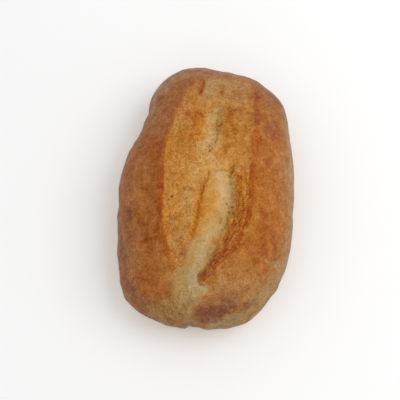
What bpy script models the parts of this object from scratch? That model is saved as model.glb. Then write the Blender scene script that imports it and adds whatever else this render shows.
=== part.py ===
"""Italian bread loaf: one baked piece with a single long score that opened wide in the oven.

The upper crust is lofted from sections across the loaf, and the underside closes in rings from
the waist to a flat foot. Metres, +Z up, +Y along the loaf, and the origin on the ground under
the middle. Guide lines are in millimetres, as (y, x) pairs that run along the loaf.
"""

import math

import bmesh
import bpy
import numpy as np

MM = 0.001

# Size and body
LENGTH = 0.240
WIDTH = 0.157
CROWN_HEIGHT = 0.0797  # the smooth dome, without the score's relief
WAIST_HEIGHT = 0.028  # where the sides stand out furthest
FOOT_SHARE = 0.86  # the flat foot's outline, as a share of the waist's
DOME_POWER = 2.3  # 2 is an ellipsoid, and more is flatter on top

# The waist's outline is a superellipse with three uneven places from shaping and oven spring.
OUTLINE_POWER = 2.36
OUTLINE_SWELLS = (  # direction in degrees from +X, half width in degrees, share of the radius
    (136.0, 20.0, -0.148),  # dent where the dough was tucked in
    (49.0, 14.7, 0.079),  # full shoulder
    (232.0, 18.5, 0.114),  # full hip
)

# The score's guide lines: its two cut edges, the tear along the middle of the opened band, and
# the free edge of the flap of crumb that lifted between them
LEFT_CUT = (
    (92, -5), (73, -18), (50, -30), (20, -36), (-20, -37), (-45, -33), (-65, -27), (-88, -20),
    (-120, -32),
)
RIGHT_CUT = (
    (95, 39), (80, 42), (50, 42), (22, 40), (-5, 37), (-28, 33), (-45, 27), (-62, 14), (-86, -4),
    (-120, 18),
)
TEAR = ((90, 13), (74, 14), (45, 10), (22, 7), (8, 3), (-12, -3), (-35, -9), (-60, -16), (-120, -15))
FLAP_EDGE = (
    (90, 29), (45, 29), (20, 23), (0, 20), (-18, 23), (-32, 20), (-48, 13), (-62, 5), (-84, -8),
    (-120, 0),
)

# Where each feature runs, from y to y in millimetres, and the length over which it fades in
SCORE_RUN = (-90, 98, 18)
EAR_RUN = (-92, -20, 16)
SEAM_RUN = (-4, 78, 12)
FLAP_RUN = (-66, 9, 14)
VALLEY_RUN = (-88, 10, 14)
END_RUN = (-130, -86, 10)

# Relief of each feature in millimetres: its height or depth, and the reach to where it has faded
LIP = (1.0, 9.0)
EAR = (2.4, 11.0)  # more lip along the lower right cut, where the crust lifted
BAND_DROP = (2.0, 5.0)
BAND_SWELL = 2.2
FLAP_SWELL = 2.6
CREASE = (2.4, 4.0)
VALLEY = (3.8, 6.5)
SEAM = (1.3, 6.0)
END_SEAM = (1.8, 7.0)

# Mesh
SECTIONS = 64
COLUMNS = (11, 7, 6, 7, 11)  # crust, band, flap, band, crust
LEAST_GAP = 0.05  # between guide lines, as a share of the section's width
FOOT_RINGS = 6
OUTLINE_SAMPLES = 1440

CRUST_COLOUR = (0.38, 0.16, 0.045, 1.0)
CRUST_ROUGHNESS = 0.62


def clear_scene():
    for obj in list(bpy.data.objects):
        bpy.data.objects.remove(obj)


def outline_radius(angle):
    """Distance from the middle to the waist's outline in that direction."""
    across = np.abs(np.cos(angle) / (WIDTH / 2)) ** OUTLINE_POWER
    along = np.abs(np.sin(angle) / (LENGTH / 2)) ** OUTLINE_POWER
    radius = (across + along) ** (-1 / OUTLINE_POWER)
    swell = 1.0
    for centre, half_width, share in OUTLINE_SWELLS:
        turn = (np.degrees(angle) - centre + 180) % 360 - 180
        swell = swell + share * np.exp(-((turn / half_width) ** 2))
    return radius * swell


def outline_sides():
    """The waist's left and right side, each as rising y values with the x at each."""
    angle = np.linspace(0, 2 * math.pi, OUTLINE_SAMPLES, endpoint=False)
    radius = outline_radius(angle)
    x, y = radius * np.cos(angle), radius * np.sin(angle)
    far, near = int(np.argmax(y)), int(np.argmin(y))
    left = np.arange(near, far - 1, -1)
    right = np.arange(near, far + OUTLINE_SAMPLES + 1) % OUTLINE_SAMPLES
    return (y[left], x[left]), (y[right], x[right])


def share_of_outline(x, y):
    """0 in the middle and 1 on the waist's outline."""
    return min(1.0, math.hypot(x, y) / float(outline_radius(math.atan2(y, x))))


def smooth_guide(points):
    """A smooth x along y through these (y, x) points in millimetres, held past its two ends."""
    ys, xs = np.array(sorted(points), float).T
    slopes = np.gradient(xs, ys)

    def x_at(y):
        y = min(max(y, ys[0]), ys[-1])
        k = min(int(np.searchsorted(ys, y, side="right")) - 1, len(ys) - 2)
        step = ys[k + 1] - ys[k]
        t = (y - ys[k]) / step
        place = xs[k] * (1 + 2 * t) * (1 - t) ** 2 + xs[k + 1] * t * t * (3 - 2 * t)
        lean = slopes[k] * t * (1 - t) ** 2 - slopes[k + 1] * t * t * (1 - t)
        return place + step * lean

    return x_at


left_cut, right_cut = smooth_guide(LEFT_CUT), smooth_guide(RIGHT_CUT)
tear, flap_edge = smooth_guide(TEAR), smooth_guide(FLAP_EDGE)


def fade(distance, reach):
    """1 at no distance, falling smoothly to 0 at the reach."""
    t = min(abs(distance) / reach, 1.0)
    return (1 - t * t) ** 2


def along(y, run):
    """1 inside the run, easing to 0 at its two ends."""
    low, high, soft = run
    t = min(max(min(y - low, high - y) / soft, 0.0), 1.0)
    return t * t * (3 - 2 * t)


def lip_relief(x, y):
    """The crust rolled up on each side of the band, highest on the cut edges."""
    left, right = left_cut(y), right_cut(y)
    outside = max(left - x, x - right, 0.0)
    relief = LIP[0] * fade(outside, LIP[1])
    if x > (left + right) / 2:
        relief += EAR[0] * along(y, EAR_RUN) * fade(outside, EAR[1])
    return relief


def band_relief(x, y):
    """The opened band: stepped down from its lips, swollen in the middle, with its flap."""
    left, right = left_cut(y), right_cut(y)
    edge = fade(min(x - left, right - x), BAND_DROP[1])
    relief = lip_relief(x, y) * edge - BAND_DROP[0] * (1 - edge)
    relief += BAND_SWELL * math.sin(math.pi * (x - left) / (right - left))
    if tear(y) < x < flap_edge(y):
        across = (x - tear(y)) / (flap_edge(y) - tear(y))
        relief += FLAP_SWELL * along(y, FLAP_RUN) * math.sin(math.pi * across)
    relief -= CREASE[0] * along(y, FLAP_RUN) * fade(x - tear(y), CREASE[1])
    relief -= VALLEY[0] * along(y, VALLEY_RUN) * fade(x - flap_edge(y), VALLEY[1])
    return relief - SEAM[0] * along(y, SEAM_RUN) * fade(x - tear(y), SEAM[1])


def score_relief(x, y):
    """Height that the score adds to the dome at this place, all in millimetres."""
    in_band = left_cut(y) < x < right_cut(y)
    relief = band_relief(x, y) if in_band else lip_relief(x, y)
    end = END_SEAM[0] * along(y, END_RUN) * fade(x - tear(y), END_SEAM[1])
    return along(y, SCORE_RUN) * relief - end


def crust_height(x, y):
    share = share_of_outline(x, y)
    dome = WAIST_HEIGHT + (CROWN_HEIGHT - WAIST_HEIGHT) * math.sqrt(1 - share**DOME_POWER)
    return dome + score_relief(x / MM, y / MM) * MM * (1 - share**6)


def column_shares(y, x_low, x_high):
    """The columns' places across a section, from 0 to 1, with one on each guide line."""
    lines = [0.0]
    for guide in (left_cut, tear, flap_edge, right_cut):
        lines.append((guide(y / MM) * MM - x_low) / (x_high - x_low))
    lines.append(1.0)
    last = len(lines) - 1
    for k in range(1, last):
        lines[k] = min(max(lines[k], lines[k - 1] + LEAST_GAP), 1 - LEAST_GAP * (last - k))
    for k in range(last - 1, 0, -1):
        lines[k] = min(lines[k], lines[k + 1] - LEAST_GAP)
    shares = [0.0]
    for k, count in enumerate(COLUMNS):
        span = lines[k + 1] - lines[k]
        for n in range(1, count + 1):
            t = n / count
            if k in (0, len(COLUMNS) - 1):
                t = (1 - math.cos(math.pi * t)) / 2
            shares.append(lines[k] + span * t)
    return shares


def upper_section(y, x_low, x_high):
    """Points over the top of one section, from the left waist to the right."""
    shares = column_shares(y, x_low, x_high)
    xs = [x_low + (x_high - x_low) * share for share in shares[1:-1]]
    crust = [(x, y, crust_height(x, y)) for x in xs]
    return [(x_low, y, WAIST_HEIGHT), *crust, (x_high, y, WAIST_HEIGHT)]


def loft_crust(mesh, sections, tips):
    """Faces over the top. Returns the waist's points in order round the loaf."""
    rows = [[mesh.verts.new(point) for point in points] for points in sections]
    near, far = (mesh.verts.new(tip) for tip in tips)
    for row, following in zip(rows, rows[1:]):
        for k in range(len(row) - 1):
            mesh.faces.new((row[k], row[k + 1], following[k + 1], following[k]))
    for k in range(len(rows[0]) - 1):
        mesh.faces.new((near, rows[0][k + 1], rows[0][k]))
        mesh.faces.new((far, rows[-1][k], rows[-1][k + 1]))
    return [near, *(row[-1] for row in rows), far, *(row[0] for row in reversed(rows))]


def close_underside(mesh, waist):
    """Rings from the waist round a quarter ellipse to the flat foot, and the foot's face."""
    ring = waist
    for step in range(1, FOOT_RINGS + 1):
        turn = math.pi / 2 * (1 - step / FOOT_RINGS)
        share = FOOT_SHARE + (1 - FOOT_SHARE) * math.sin(turn)
        z = WAIST_HEIGHT * (1 - math.cos(turn))
        lower = [mesh.verts.new((v.co.x * share, v.co.y * share, z)) for v in waist]
        for k in range(len(ring)):
            n = (k + 1) % len(ring)
            mesh.faces.new((ring[k], lower[k], lower[n], ring[n]))
        ring = lower
    mesh.faces.new(reversed(ring))


def centre_in_plan(mesh):
    """Moves the loaf so that its box is centred on the origin."""
    xs, ys = [v.co.x for v in mesh.verts], [v.co.y for v in mesh.verts]
    shift = (-(min(xs) + max(xs)) / 2, -(min(ys) + max(ys)) / 2, 0.0)
    bmesh.ops.translate(mesh, verts=mesh.verts, vec=shift)


def crust_material():
    material = bpy.data.materials.new("baked_crust")
    material.use_nodes = True
    shader = material.node_tree.nodes["Principled BSDF"]
    shader.inputs["Base Color"].default_value = CRUST_COLOUR
    shader.inputs["Roughness"].default_value = CRUST_ROUGHNESS
    shader.inputs["Metallic"].default_value = 0.0
    return material


def make_loaf():
    (left_y, left_x), (right_y, right_x) = outline_sides()
    near, far = float(left_y[0]), float(left_y[-1])
    sections = []
    for k in range(1, SECTIONS):
        y = (near + far) / 2 - (far - near) / 2 * math.cos(math.pi * k / SECTIONS)
        x_low = float(np.interp(y, left_y, left_x))
        x_high = float(np.interp(y, right_y, right_x))
        sections.append(upper_section(y, x_low, x_high))
    tips = ((float(left_x[0]), near, WAIST_HEIGHT), (float(left_x[-1]), far, WAIST_HEIGHT))
    shape = bmesh.new()
    close_underside(shape, loft_crust(shape, sections, tips))
    bmesh.ops.recalc_face_normals(shape, faces=shape.faces)
    centre_in_plan(shape)
    data = bpy.data.meshes.new("loaf")
    shape.to_mesh(data)
    shape.free()
    data.materials.append(crust_material())
    data.shade_smooth()
    loaf = bpy.data.objects.new("loaf", data)
    bpy.context.scene.collection.objects.link(loaf)


clear_scene()
make_loaf()
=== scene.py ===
import math
import bpy
import numpy as np
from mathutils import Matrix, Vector, noise


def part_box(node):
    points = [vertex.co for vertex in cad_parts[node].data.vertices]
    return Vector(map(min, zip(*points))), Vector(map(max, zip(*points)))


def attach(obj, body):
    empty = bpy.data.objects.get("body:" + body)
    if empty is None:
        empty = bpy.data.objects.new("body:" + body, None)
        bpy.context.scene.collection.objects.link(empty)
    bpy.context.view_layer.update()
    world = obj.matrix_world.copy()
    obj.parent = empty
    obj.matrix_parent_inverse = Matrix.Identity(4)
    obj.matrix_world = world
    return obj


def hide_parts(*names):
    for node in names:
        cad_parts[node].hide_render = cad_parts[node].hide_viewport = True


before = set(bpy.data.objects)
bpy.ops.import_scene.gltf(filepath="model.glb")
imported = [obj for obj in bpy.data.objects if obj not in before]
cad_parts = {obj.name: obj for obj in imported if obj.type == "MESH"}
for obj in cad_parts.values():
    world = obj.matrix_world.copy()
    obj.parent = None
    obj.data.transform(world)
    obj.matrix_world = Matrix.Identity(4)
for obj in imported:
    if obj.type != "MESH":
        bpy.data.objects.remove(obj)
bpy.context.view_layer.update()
loafLow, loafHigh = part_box("loaf")
loafMiddle = (loafLow + loafHigh) / 2
print("frame loaded, loaf", [round(side * 1000) for side in loafHigh - loafLow], "mm")


# small helpers

def deselectAll():
    if bpy.context.mode != "OBJECT":
        bpy.ops.object.mode_set(mode="OBJECT")
    bpy.ops.object.select_all(action="DESELECT")


def pick(obj):
    deselectAll()
    obj.select_set(True)
    bpy.context.view_layer.objects.active = obj


def applyModifier(obj, kind, **settings):
    pick(obj)
    modifier = obj.modifiers.new(kind.lower(), kind)
    for name, value in settings.items():
        setattr(modifier, name, value)
    bpy.ops.object.modifier_apply(modifier=modifier.name)


def selectFaces(obj, chosen):
    # chosen is one True or False for each face
    pick(obj)
    data = obj.data
    data.vertices.foreach_set("select", np.zeros(len(data.vertices), bool))
    data.edges.foreach_set("select", np.zeros(len(data.edges), bool))
    data.polygons.foreach_set("select", chosen)
    bpy.context.tool_settings.mesh_select_mode = (False, False, True)
    bpy.ops.object.mode_set(mode="EDIT")


def readAll(items, what):
    # one row of three numbers for each point or face of a mesh
    values = np.empty(len(items) * 3)
    items.foreach_get(what, values)
    return values.reshape(-1, 3)


def pointsOf(obj):
    return readAll(obj.data.vertices, "co") * 1000  # the loaf is shaped in millimetres


def normalsOf(obj):
    return readAll(obj.data.vertices, "normal")


def putPoints(obj, points):
    obj.data.vertices.foreach_set("co", (points / 1000).ravel())
    obj.data.update()


def ease(value, start=0, over=1):
    # 0 up to the start, then 1 after the stretch that follows, with no kink
    value = np.clip((value - start) / over, 0, 1)
    return value * value * (3 - 2 * value)


def mound(distance, width):
    # 1 at no distance, and nearly gone at twice the width
    return np.exp(-(distance / width) ** 2)


def unevenness(points, size, seed):
    # soft random hills about this many millimetres wide, stretched to about -1 to 1
    shift = Vector((seed * 7.31, seed * 3.17, seed * 5.77))
    return np.array([noise.noise(Vector(point) / size + shift) for point in points]) * 1.6


crownShift = {"most": 0.6, "from": -90, "over": 50}  # in millimetres


def overCrown(places):
    # marks on the crown belong this much nearer the far end than their plan says
    places = np.array(places, float)
    share = ease(places[..., 1], crownShift["from"], crownShift["over"])
    places[..., 1] += crownShift["most"] * share
    return places


def smoothLine(places, step=1.2):
    # an even line through given places, in millimetres
    places = overCrown(places)
    if len(places) < 3:
        return places
    before, after = 2 * places[0] - places[1], 2 * places[-1] - places[-2]
    knots = np.vstack([before, places, after])
    line = [places[0]]
    for k in range(1, len(knots) - 2):
        a, b, c, d = knots[k - 1:k + 3]
        parts = max(1, int(np.linalg.norm(c - b) / step))
        for n in range(1, parts + 1):
            t = n / parts
            line.append(0.5 * (2 * b + (c - a) * t + (2 * a - 5 * b + 4 * c - d) * t * t
                               + (3 * b - a - 3 * c + d) * t ** 3))
    return np.array(line)


def measureTo(line, points):
    # how far each point is from the line, in plan unless the line has heights, which side
    # it is on (1 is right of a line drawn downwards), and how far along it is, from 0 to 1
    distance = np.full(len(points), 1e9)
    side = np.ones(len(points))
    along = np.zeros(len(points))
    points = points[:, :line.shape[1]]
    if len(line) == 1:
        return np.linalg.norm(points - line[0], axis=1), side, along
    run = 0.0
    for start, end in zip(line, line[1:]):
        way = end - start
        length = np.linalg.norm(way)
        offset = points - start
        t = np.clip(offset @ way / length ** 2, 0, 1)
        gap = np.linalg.norm(offset - t[:, None] * way, axis=1)
        nearer = gap < distance - 1e-9
        distance[nearer] = gap[nearer]
        cross = way[0] * offset[:, 1] - way[1] * offset[:, 0]
        side[nearer] = np.sign(cross[nearer])
        along[nearer] = run + t[nearer] * length
        run += length
    return distance, side, along / run


def dentAt(points, allowed, place, radius, reach):
    # which points lie round a place in plan, and a soft round dent's share at each
    gaps = points[:, :2] - place
    near = np.flatnonzero((np.abs(gaps) < reach).all(1) & allowed)
    return near, mound(np.hypot(gaps[near, 0], gaps[near, 1]), radius)


# the score's lines, in plan millimetres from the far end to the near one

scoreLines = {
    "leftCut": [(-1, 98), (-6, 93), (-11, 88), (-15.8, 82), (-18.8, 76), (-21, 69), (-24.2, 61),
                (-27.6, 50), (-31.2, 40), (-33.6, 31), (-34.8, 20), (-35.4, 8), (-35.6, -6),
                (-36, -22), (-36, -34), (-34.8, -44), (-32.6, -53), (-30, -62), (-27.6, -70),
                (-25.6, -78), (-24.4, -88)],
    "rightCut": [(38, 98), (42, 88), (43.2, 74), (42.6, 58), (41.4, 44), (39.8, 33), (39.4, 20),
                 (37.8, 8), (37.4, -6), (36.8, -20), (36.6, -31), (35, -40), (31, -49),
                 (25.6, -58.6), (19.4, -66), (13, -72.6), (6.4, -79), (1, -85), (-3, -90)],
    "flapCrease": [(2, 4.6), (1.7, 1), (0.8, -3.2), (-1.2, -5.4), (-2.4, -7.8), (-2.7, -10.8),
                   (-3.9, -14.4), (-4.9, -20.4), (-6.2, -26.4), (-7.4, -32.4), (-8.6, -39.4),
                   (-10.8, -47.4), (-13.6, -55)],
    "flapEdge": [(20, 7), (22, 1), (23.4, -6), (24, -13), (24, -20), (23.2, -27), (21.4, -33),
                 (18.8, -39), (16.2, -45), (13.8, -50.5), (11.2, -56.5), (8, -62), (4.8, -67),
                 (2.2, -72), (-1, -76), (-4.8, -79.4)],
    "flapTop": [(2.8, 4.2), (8, 5), (13, 6), (17, 5.6), (21, 6.4), (24, 9.4), (26.5, 12.5)],
    "tornFold": [(35, -26), (34.6, -32), (32, -38.6), (29, -44), (26, -51), (21.2, -57),
                 (15.4, -62.6), (10.4, -68), (5.4, -73.4), (1.4, -78), (-1.6, -83)],
    "seam": [(12.5, 63), (12.2, 55), (11.9, 48), (10.9, 42), (9.6, 36), (8.2, 30), (5, 25),
             (2.6, 20), (3, 12)],
    "topFold": [(-1.4, 92), (-2.8, 86), (-4.2, 80), (-6, 75)],
    "nearFlow": [(-10, -84), (-13, -92), (-15.5, -100), (-16, -108), (-15, -116)],
    "endNotch": [(-13.5, -111), (-13.8, -116), (-14.4, -124)],
}
lines = {name: smoothLine(places) for name, places in scoreLines.items()}

openedBand = {  # where the opened dough ends, in millimetres
    "far": 97.5,
    "farSlope": 0.03,
    "near": -89,
}
tearLength = 195  # of the right cut, in millimetres


def insideBand(points):
    # how far inside the opened score each point is, in millimetres, negative outside it
    left, leftSide, _ = measureTo(lines["leftCut"], points)
    right, rightSide, _ = measureTo(lines["rightCut"], points)
    x, y = points[:, 0], points[:, 1]
    inside = np.minimum(left * leftSide, -right * rightSide)
    inside = np.minimum(inside, openedBand["far"] - y - openedBand["farSlope"] * x)
    return np.minimum(inside, y - openedBand["near"])


def insideTorn(points, top, topOver, edge, edgeOver):
    # how much each point belongs to the torn strip between the flap and the right crust,
    # and how far it is from the right cut and along it, in millimetres
    flap, flapSide, _ = measureTo(lines["flapEdge"], points)
    right, rightSide, along = measureTo(lines["rightCut"], points)
    torn = (flapSide > 0) * (rightSide < 0) * ease(top - points[:, 1], 0, topOver)
    torn = torn * ease(np.minimum(flap, right), edge, edgeOver)
    return torn, right, along * tearLength


# the loaf's body

loafBody = {
    "mergeGap": 0.00001,
    "voxel": 0.00136,
    "softenBy": 0.5,
    "softenSteps": 6,
    "fineFrom": -4,  # the mesh is twice as fine from here inwards, in millimetres
    "fineAbove": 40,
}


def growBody():
    body = bpy.data.objects.new("loafCrust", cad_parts["loaf"].data.copy())
    bpy.context.scene.collection.objects.link(body)
    body.data.materials.clear()
    pick(body)
    bpy.ops.object.mode_set(mode="EDIT")
    bpy.ops.mesh.select_all(action="SELECT")
    bpy.ops.mesh.remove_doubles(threshold=loafBody["mergeGap"])
    bpy.ops.mesh.tris_convert_to_quads()
    bpy.ops.object.mode_set(mode="OBJECT")
    applyModifier(body, "SUBSURF", levels=1, render_levels=1)
    applyModifier(body, "REMESH", mode="VOXEL", voxel_size=loafBody["voxel"])
    applyModifier(body, "SMOOTH", factor=loafBody["softenBy"], iterations=loafBody["softenSteps"])
    return body


def refineBand(body):
    middles = readAll(body.data.polygons, "center") * 1000
    near = (insideBand(middles) > loafBody["fineFrom"]) & (middles[:, 2] > loafBody["fineAbove"])
    selectFaces(body, near)
    bpy.ops.mesh.subdivide(number_cuts=1, smoothness=0)
    bpy.ops.object.mode_set(mode="OBJECT")


body = growBody()
refineBand(body)
print("body grown,", len(body.data.vertices), "points")


# shaping the opened score, all in millimetres

scoreShape = {
    "wander": ((7, 1, 0.8), (2.6, 2, 0.35)),  # size, seed and strength of what makes it uneven
    "edgeStep": 0.7,  # the opened dough drops this much inside its cuts
    "edgeWidth": 1.6,
    "edgeFade": (2.5, 6),  # from here inwards it rises again, over this much
    "lipHeight": 0.35,  # the crust's lip just outside them
    "lipOut": 1.6,
    "lipWidth": 1.7,
    "creaseDepth": 0.9,
    "creaseWidth": 0.7,
    "creaseFade": (0.06, 0.8, 0.18, 0.3),  # as the marks below fade
    "flapLip": 0.5,  # the flap stands this much above its crease
    "flapLipWidth": 1.8,
    "creaseOverlap": 0.4,
    "tearRidges": 0.38,
    "tearStretch": 0.16,  # the smaller, the longer the ridges
    "tearCrumbs": 0.26,
    "flowHeight": 0.9,
    "flowWidth": 3.2,
    "notchDepth": 2.0,
    "notchWidth": 2.2,
}

# line, height, width and how far to its right, how much it wanders, then how it fades:
# in over the first share of the line, and out by how much, from where and over what share
scoreMarks = [
    # the flap's right edge, crumbling into the torn strip
    ("flapEdge", -0.35, 1.3, 0.8, 0.8, (0.1,)),
    ("flapEdge", 0.45, 2.2, -2.6, 0.8, (0.1,)),
    # the thin crack across the flap's top
    ("flapTop", -0.45, 0.7, 0, 0.3, (0.1,)),
    # one deeper fold in the torn strip
    ("tornFold", -0.8, 1.4, 0, 0, (0.12, 0.7, 0.82, 0.18)),
    ("tornFold", 0.35, 2.0, 2.8, 0, (0.12, 0.7, 0.82, 0.18)),
    # the seam along the band's top, and the fold at the far left of it
    ("seam", -0.6, 1.2, 0, 0.5, (0.15, 1, 0.85, 0.15)),
    ("topFold", -0.9, 1.3, 0, 0, (0.2, 1, 0.7, 0.3)),
]

wrinkles = [  # depth, half width and places of the small folds that cross the dough
    (0.45, 1.0, [(-19, -10.6), (-15, -11.4), (-11, -11.2)]),
    (0.30, 0.8, [(-4, -24.4), (0, -25.2), (5, -25.4)]),
    (0.50, 1.1, [(-54, 40), (-50, 42.4), (-46, 42)]),
    (0.60, 1.3, [(-60, 33), (-55, 31), (-53, 34)]),
    (0.50, 1.2, [(-55, 52), (-50, 54), (-47, 58)]),
    (0.50, 1.2, [(-53, -54), (-47, -51), (-41, -51.6)]),
    (0.40, 1.2, [(46, -62), (52, -66.5), (58, -67), (64, -66)]),
    (0.35, 1.0, [(2, 67), (8, 68), (15, 66.6)]),
    (0.40, 1.0, [(-52, -105.5), (-45, -103.6), (-39, -104.6)]),
]

rimLumps = [  # height and radius of the swellings and dents round the rim
    (0.6, 6, (-76, -12)), (0.2, 6, (-76.5, -53)), (-1.0, 6, (-74, -64)), (-1.2, 6, (-77, -12)),
    (0.5, 5, (-78, -22)), (-1.0, 18, (-74, 26)), (-0.1, 12, (-77, -46)), (-0.3, 8, (-71, -86)),
    (-1.9, 6, (-8, -119)), (0.9, 6, (19, -117)), (0.6, 5, (-67, 35)), (0.8, 5, (-62, 44)),
    (-0.5, 5, (-57, 60)), (-2.3, 6.5, (-52, 73)), (1.0, 9, (-46, 96)), (1.0, 12, (-32, 108)),
    (-3.5, 14, (15, 116)), (-2.4, 5, (28.5, 108)), (1.4, 6, (46, 101)), (0.4, 4, (39, 105)),
    (0.8, 10, (68, 80)), (1.8, 18, (77, 28)), (0.6, 14, (78, 4)), (1.1, 6, (76, -51)),
    (0.8, 8, (70, -62)), (1.3, 8, (67, -72)), (1.8, 6, (63, -87)), (0.8, 6, (48, -105)),
    (-0.7, 6, (75, -22)), (2.0, 12, (34, -113)), (0.5, 6, (-21, -118)), (-0.4, 7, (-42, -111)),
    (0.8, 6, (-21, 112)), (-1.0, 5, (-75, -73)), (0.8, 6, (-70, -94)), (0.6, 5, (-32, -115)),
    (0.7, 8, (2, -119)),
]


def fadeAlong(along, start, drop=0, dropFrom=0, dropOver=1):
    return ease(along, 0, start) * (1 - drop * ease(along, dropFrom, dropOver))


def liftScore(points):
    # how far the score raises or sinks each point, and how far the flap leans to the left
    height = points[:, 2]
    wander = sum(unevenness(points, size, seed) * strength
                 for size, seed, strength in scoreShape["wander"])

    # a crisp step just inside each cut, and the crust's own lip outside it
    edge = insideBand(points) + wander * 0.6
    drop = ease(edge, 0, scoreShape["edgeWidth"]) * (1 - ease(edge, *scoreShape["edgeFade"]))
    lift = -scoreShape["edgeStep"] * drop
    lift += scoreShape["lipHeight"] * mound(edge + scoreShape["lipOut"], scoreShape["lipWidth"])

    # the flap's left crease, deep at the top and fading downwards
    gap, side, along = measureTo(lines["flapCrease"], points)
    gap = gap + wander * 0.3
    ends = fadeAlong(along, *scoreShape["creaseFade"])
    lift -= scoreShape["creaseDepth"] * ends * mound(gap, scoreShape["creaseWidth"])
    lip = ends * (side > 0) * mound(gap - scoreShape["flapLipWidth"], scoreShape["flapLipWidth"])
    lift += scoreShape["flapLip"] * lip

    for name, raised, width, right, wanders, fades in scoreMarks:
        gap, side, along = measureTo(lines[name], points)
        gap = gap + wander * wanders
        if right:
            gap = gap * side - right
        lift += raised * fadeAlong(along, *fades) * mound(gap, width)

    for depth, width, places in wrinkles:
        gap, _, along = measureTo(smoothLine(places), points)
        fold = mound(gap + wander * 0.3, width) - 0.5 * mound(gap - 2.4 * width, width)
        lift -= depth * fold * ease(along, -0.04, 0.2) * ease(1 - along, -0.04, 0.2)

    # long ridges along the tear
    torn, right, run = insideTorn(points, 10, 14, -0.6, 2)
    strands = np.stack([right, run * scoreShape["tearStretch"], height * 0], 1)
    lift += scoreShape["tearRidges"] * torn * unevenness(strands, 1.25, 3)
    lift += scoreShape["tearCrumbs"] * torn * unevenness(points, 1.6, 4)

    # the dough has flowed smooth over the near end of the score
    gap, _, along = measureTo(lines["nearFlow"], points)
    flow = mound(gap, scoreShape["flowWidth"]) * ease(along, 0, 0.2) * ease(height, 34, 14)
    lift += scoreShape["flowHeight"] * flow
    return lift, scoreShape["creaseOverlap"] * lip


def shapeScore(body):
    points, normals = pointsOf(body), normalsOf(body)
    x, y, z = points.T
    upper = ease(z, 24, 10) * (normals[:, 2] > 0)
    lift, lean = liftScore(points)
    points += normals * (lift * upper)[:, None]
    x -= lean * upper

    for height, radius, (lumpX, lumpY) in rimLumps:
        swell = height * mound(np.hypot(x - lumpX, y - lumpY), radius) * ease(z, 6, 12)
        points[:, :2] += normals[:, :2] * swell[:, None]

    # the small notch low on the near end
    gap, _, _ = measureTo(lines["endNotch"], points)
    notch = scoreShape["notchDepth"] * mound(gap, scoreShape["notchWidth"])
    notch = notch * ease(52 - z, 0, 16) * ease(z, 3, 10) * (normals[:, 1] < 0.1)
    putPoints(body, points - normals * notch[:, None])


shapeScore(body)
print("score shaped")


# pores and blisters

poreSpots = [  # place in plan, radius and depth, in millimetres
    ((-28.4, -16.6), 1.0, 1.5), ((-31.0, -18.8), 0.8, 1.2), ((33.4, -12.4), 0.7, 0.9),
    ((33.6, -15.0), 0.6, 0.8), ((16.6, -23.4), 0.8, 0.8), ((22.2, -30.2), 0.7, 0.8),
    ((-20.4, -50.4), 1.0, 0.7), ((21.6, 5.2), 1.2, 1.0), ((23.0, 8.2), 0.8, 0.7),
    ((10.2, 49.2), 0.7, 0.8), ((12.6, 47.6), 0.8, 0.9), ((11.0, 45.4), 0.8, 0.9),
    ((3.0, 22.2), 0.7, 0.7), ((5.2, 24.4), 0.6, 0.6), ((2.4, 26.2), 0.6, 0.6),
    ((-5.0, 17.0), 0.9, 0.7), ((-10.4, 83.6), 0.6, 0.5), ((14.2, 81.0), 0.7, 0.5),
]

crumbPores = {
    "seed": 12,
    "count": 520,
    "corners": ((-38, -85), (42, 92)),  # they are scattered between these
    "fromCuts": 1.5,
    "radius": (0.45, 1.0),
    "depth": (0.12, 0.42),
    "missing": 0.85,  # the share left out on the flap, which is smooth
    "edgeCount": 60,  # along the flap's crumbling right edge
    "edgeDrift": ((-1.6, 0), (1.7, 0.8)),  # how far from it, and how widely
    "edgeRadius": (0.45, 0.85),
    "edgeDepth": (0.25, 0.5),
}


def scatterPores():
    random = np.random.default_rng(crumbPores["seed"])
    spots = [(tuple(overCrown(place)), radius, depth) for place, radius, depth in poreSpots]
    while len(spots) < len(poreSpots) + crumbPores["count"]:
        place = random.uniform(*crumbPores["corners"])
        centre = np.array([[place[0], place[1], 70]])
        if insideBand(centre)[0] < crumbPores["fromCuts"]:
            continue
        _, flapSide, _ = measureTo(lines["flapCrease"], centre)
        _, edgeSide, _ = measureTo(lines["flapEdge"], centre)
        onFlap = flapSide[0] > 0 and edgeSide[0] < 0 and place[1] < 6
        if onFlap and random.random() < crumbPores["missing"]:
            continue
        spots.append((tuple(place), random.uniform(*crumbPores["radius"]),
                      random.uniform(*crumbPores["depth"])))
    edge = lines["flapEdge"]
    for _ in range(crumbPores["edgeCount"]):
        place = edge[random.integers(3, len(edge) - 12)] + random.normal(*crumbPores["edgeDrift"])
        spots.append((tuple(place), random.uniform(*crumbPores["edgeRadius"]),
                      random.uniform(*crumbPores["edgeDepth"])))
    return spots


def pressPores(body, spots):
    points, normals = pointsOf(body), normalsOf(body)
    press = np.zeros(len(points))
    crown = points[:, 2] > 30
    for place, radius, depth in spots:
        near, share = dentAt(points, crown, place, radius, 3 * radius)
        press[near] = np.maximum(press[near], depth * share)
    putPoints(body, points - normals * press[:, None])


def weighPoints(body, name, weights, steps=20):
    group = body.vertex_groups.new(name=name)
    levels = np.round(np.clip(weights, 0, 1) * steps).astype(int)
    for level in range(1, steps + 1):
        chosen = np.flatnonzero(levels == level)
        if len(chosen):
            group.add(chosen.tolist(), level / steps, "REPLACE")


surfaceLumps = [  # size and height in metres, and where
    (0.046, 0.0020, "allOver"),
    (0.014, 0.0009, "allOver"),
    (0.0052, 0.00034, "allOver"),
    (0.0022, 0.00040, "openedBand"),
]


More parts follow.
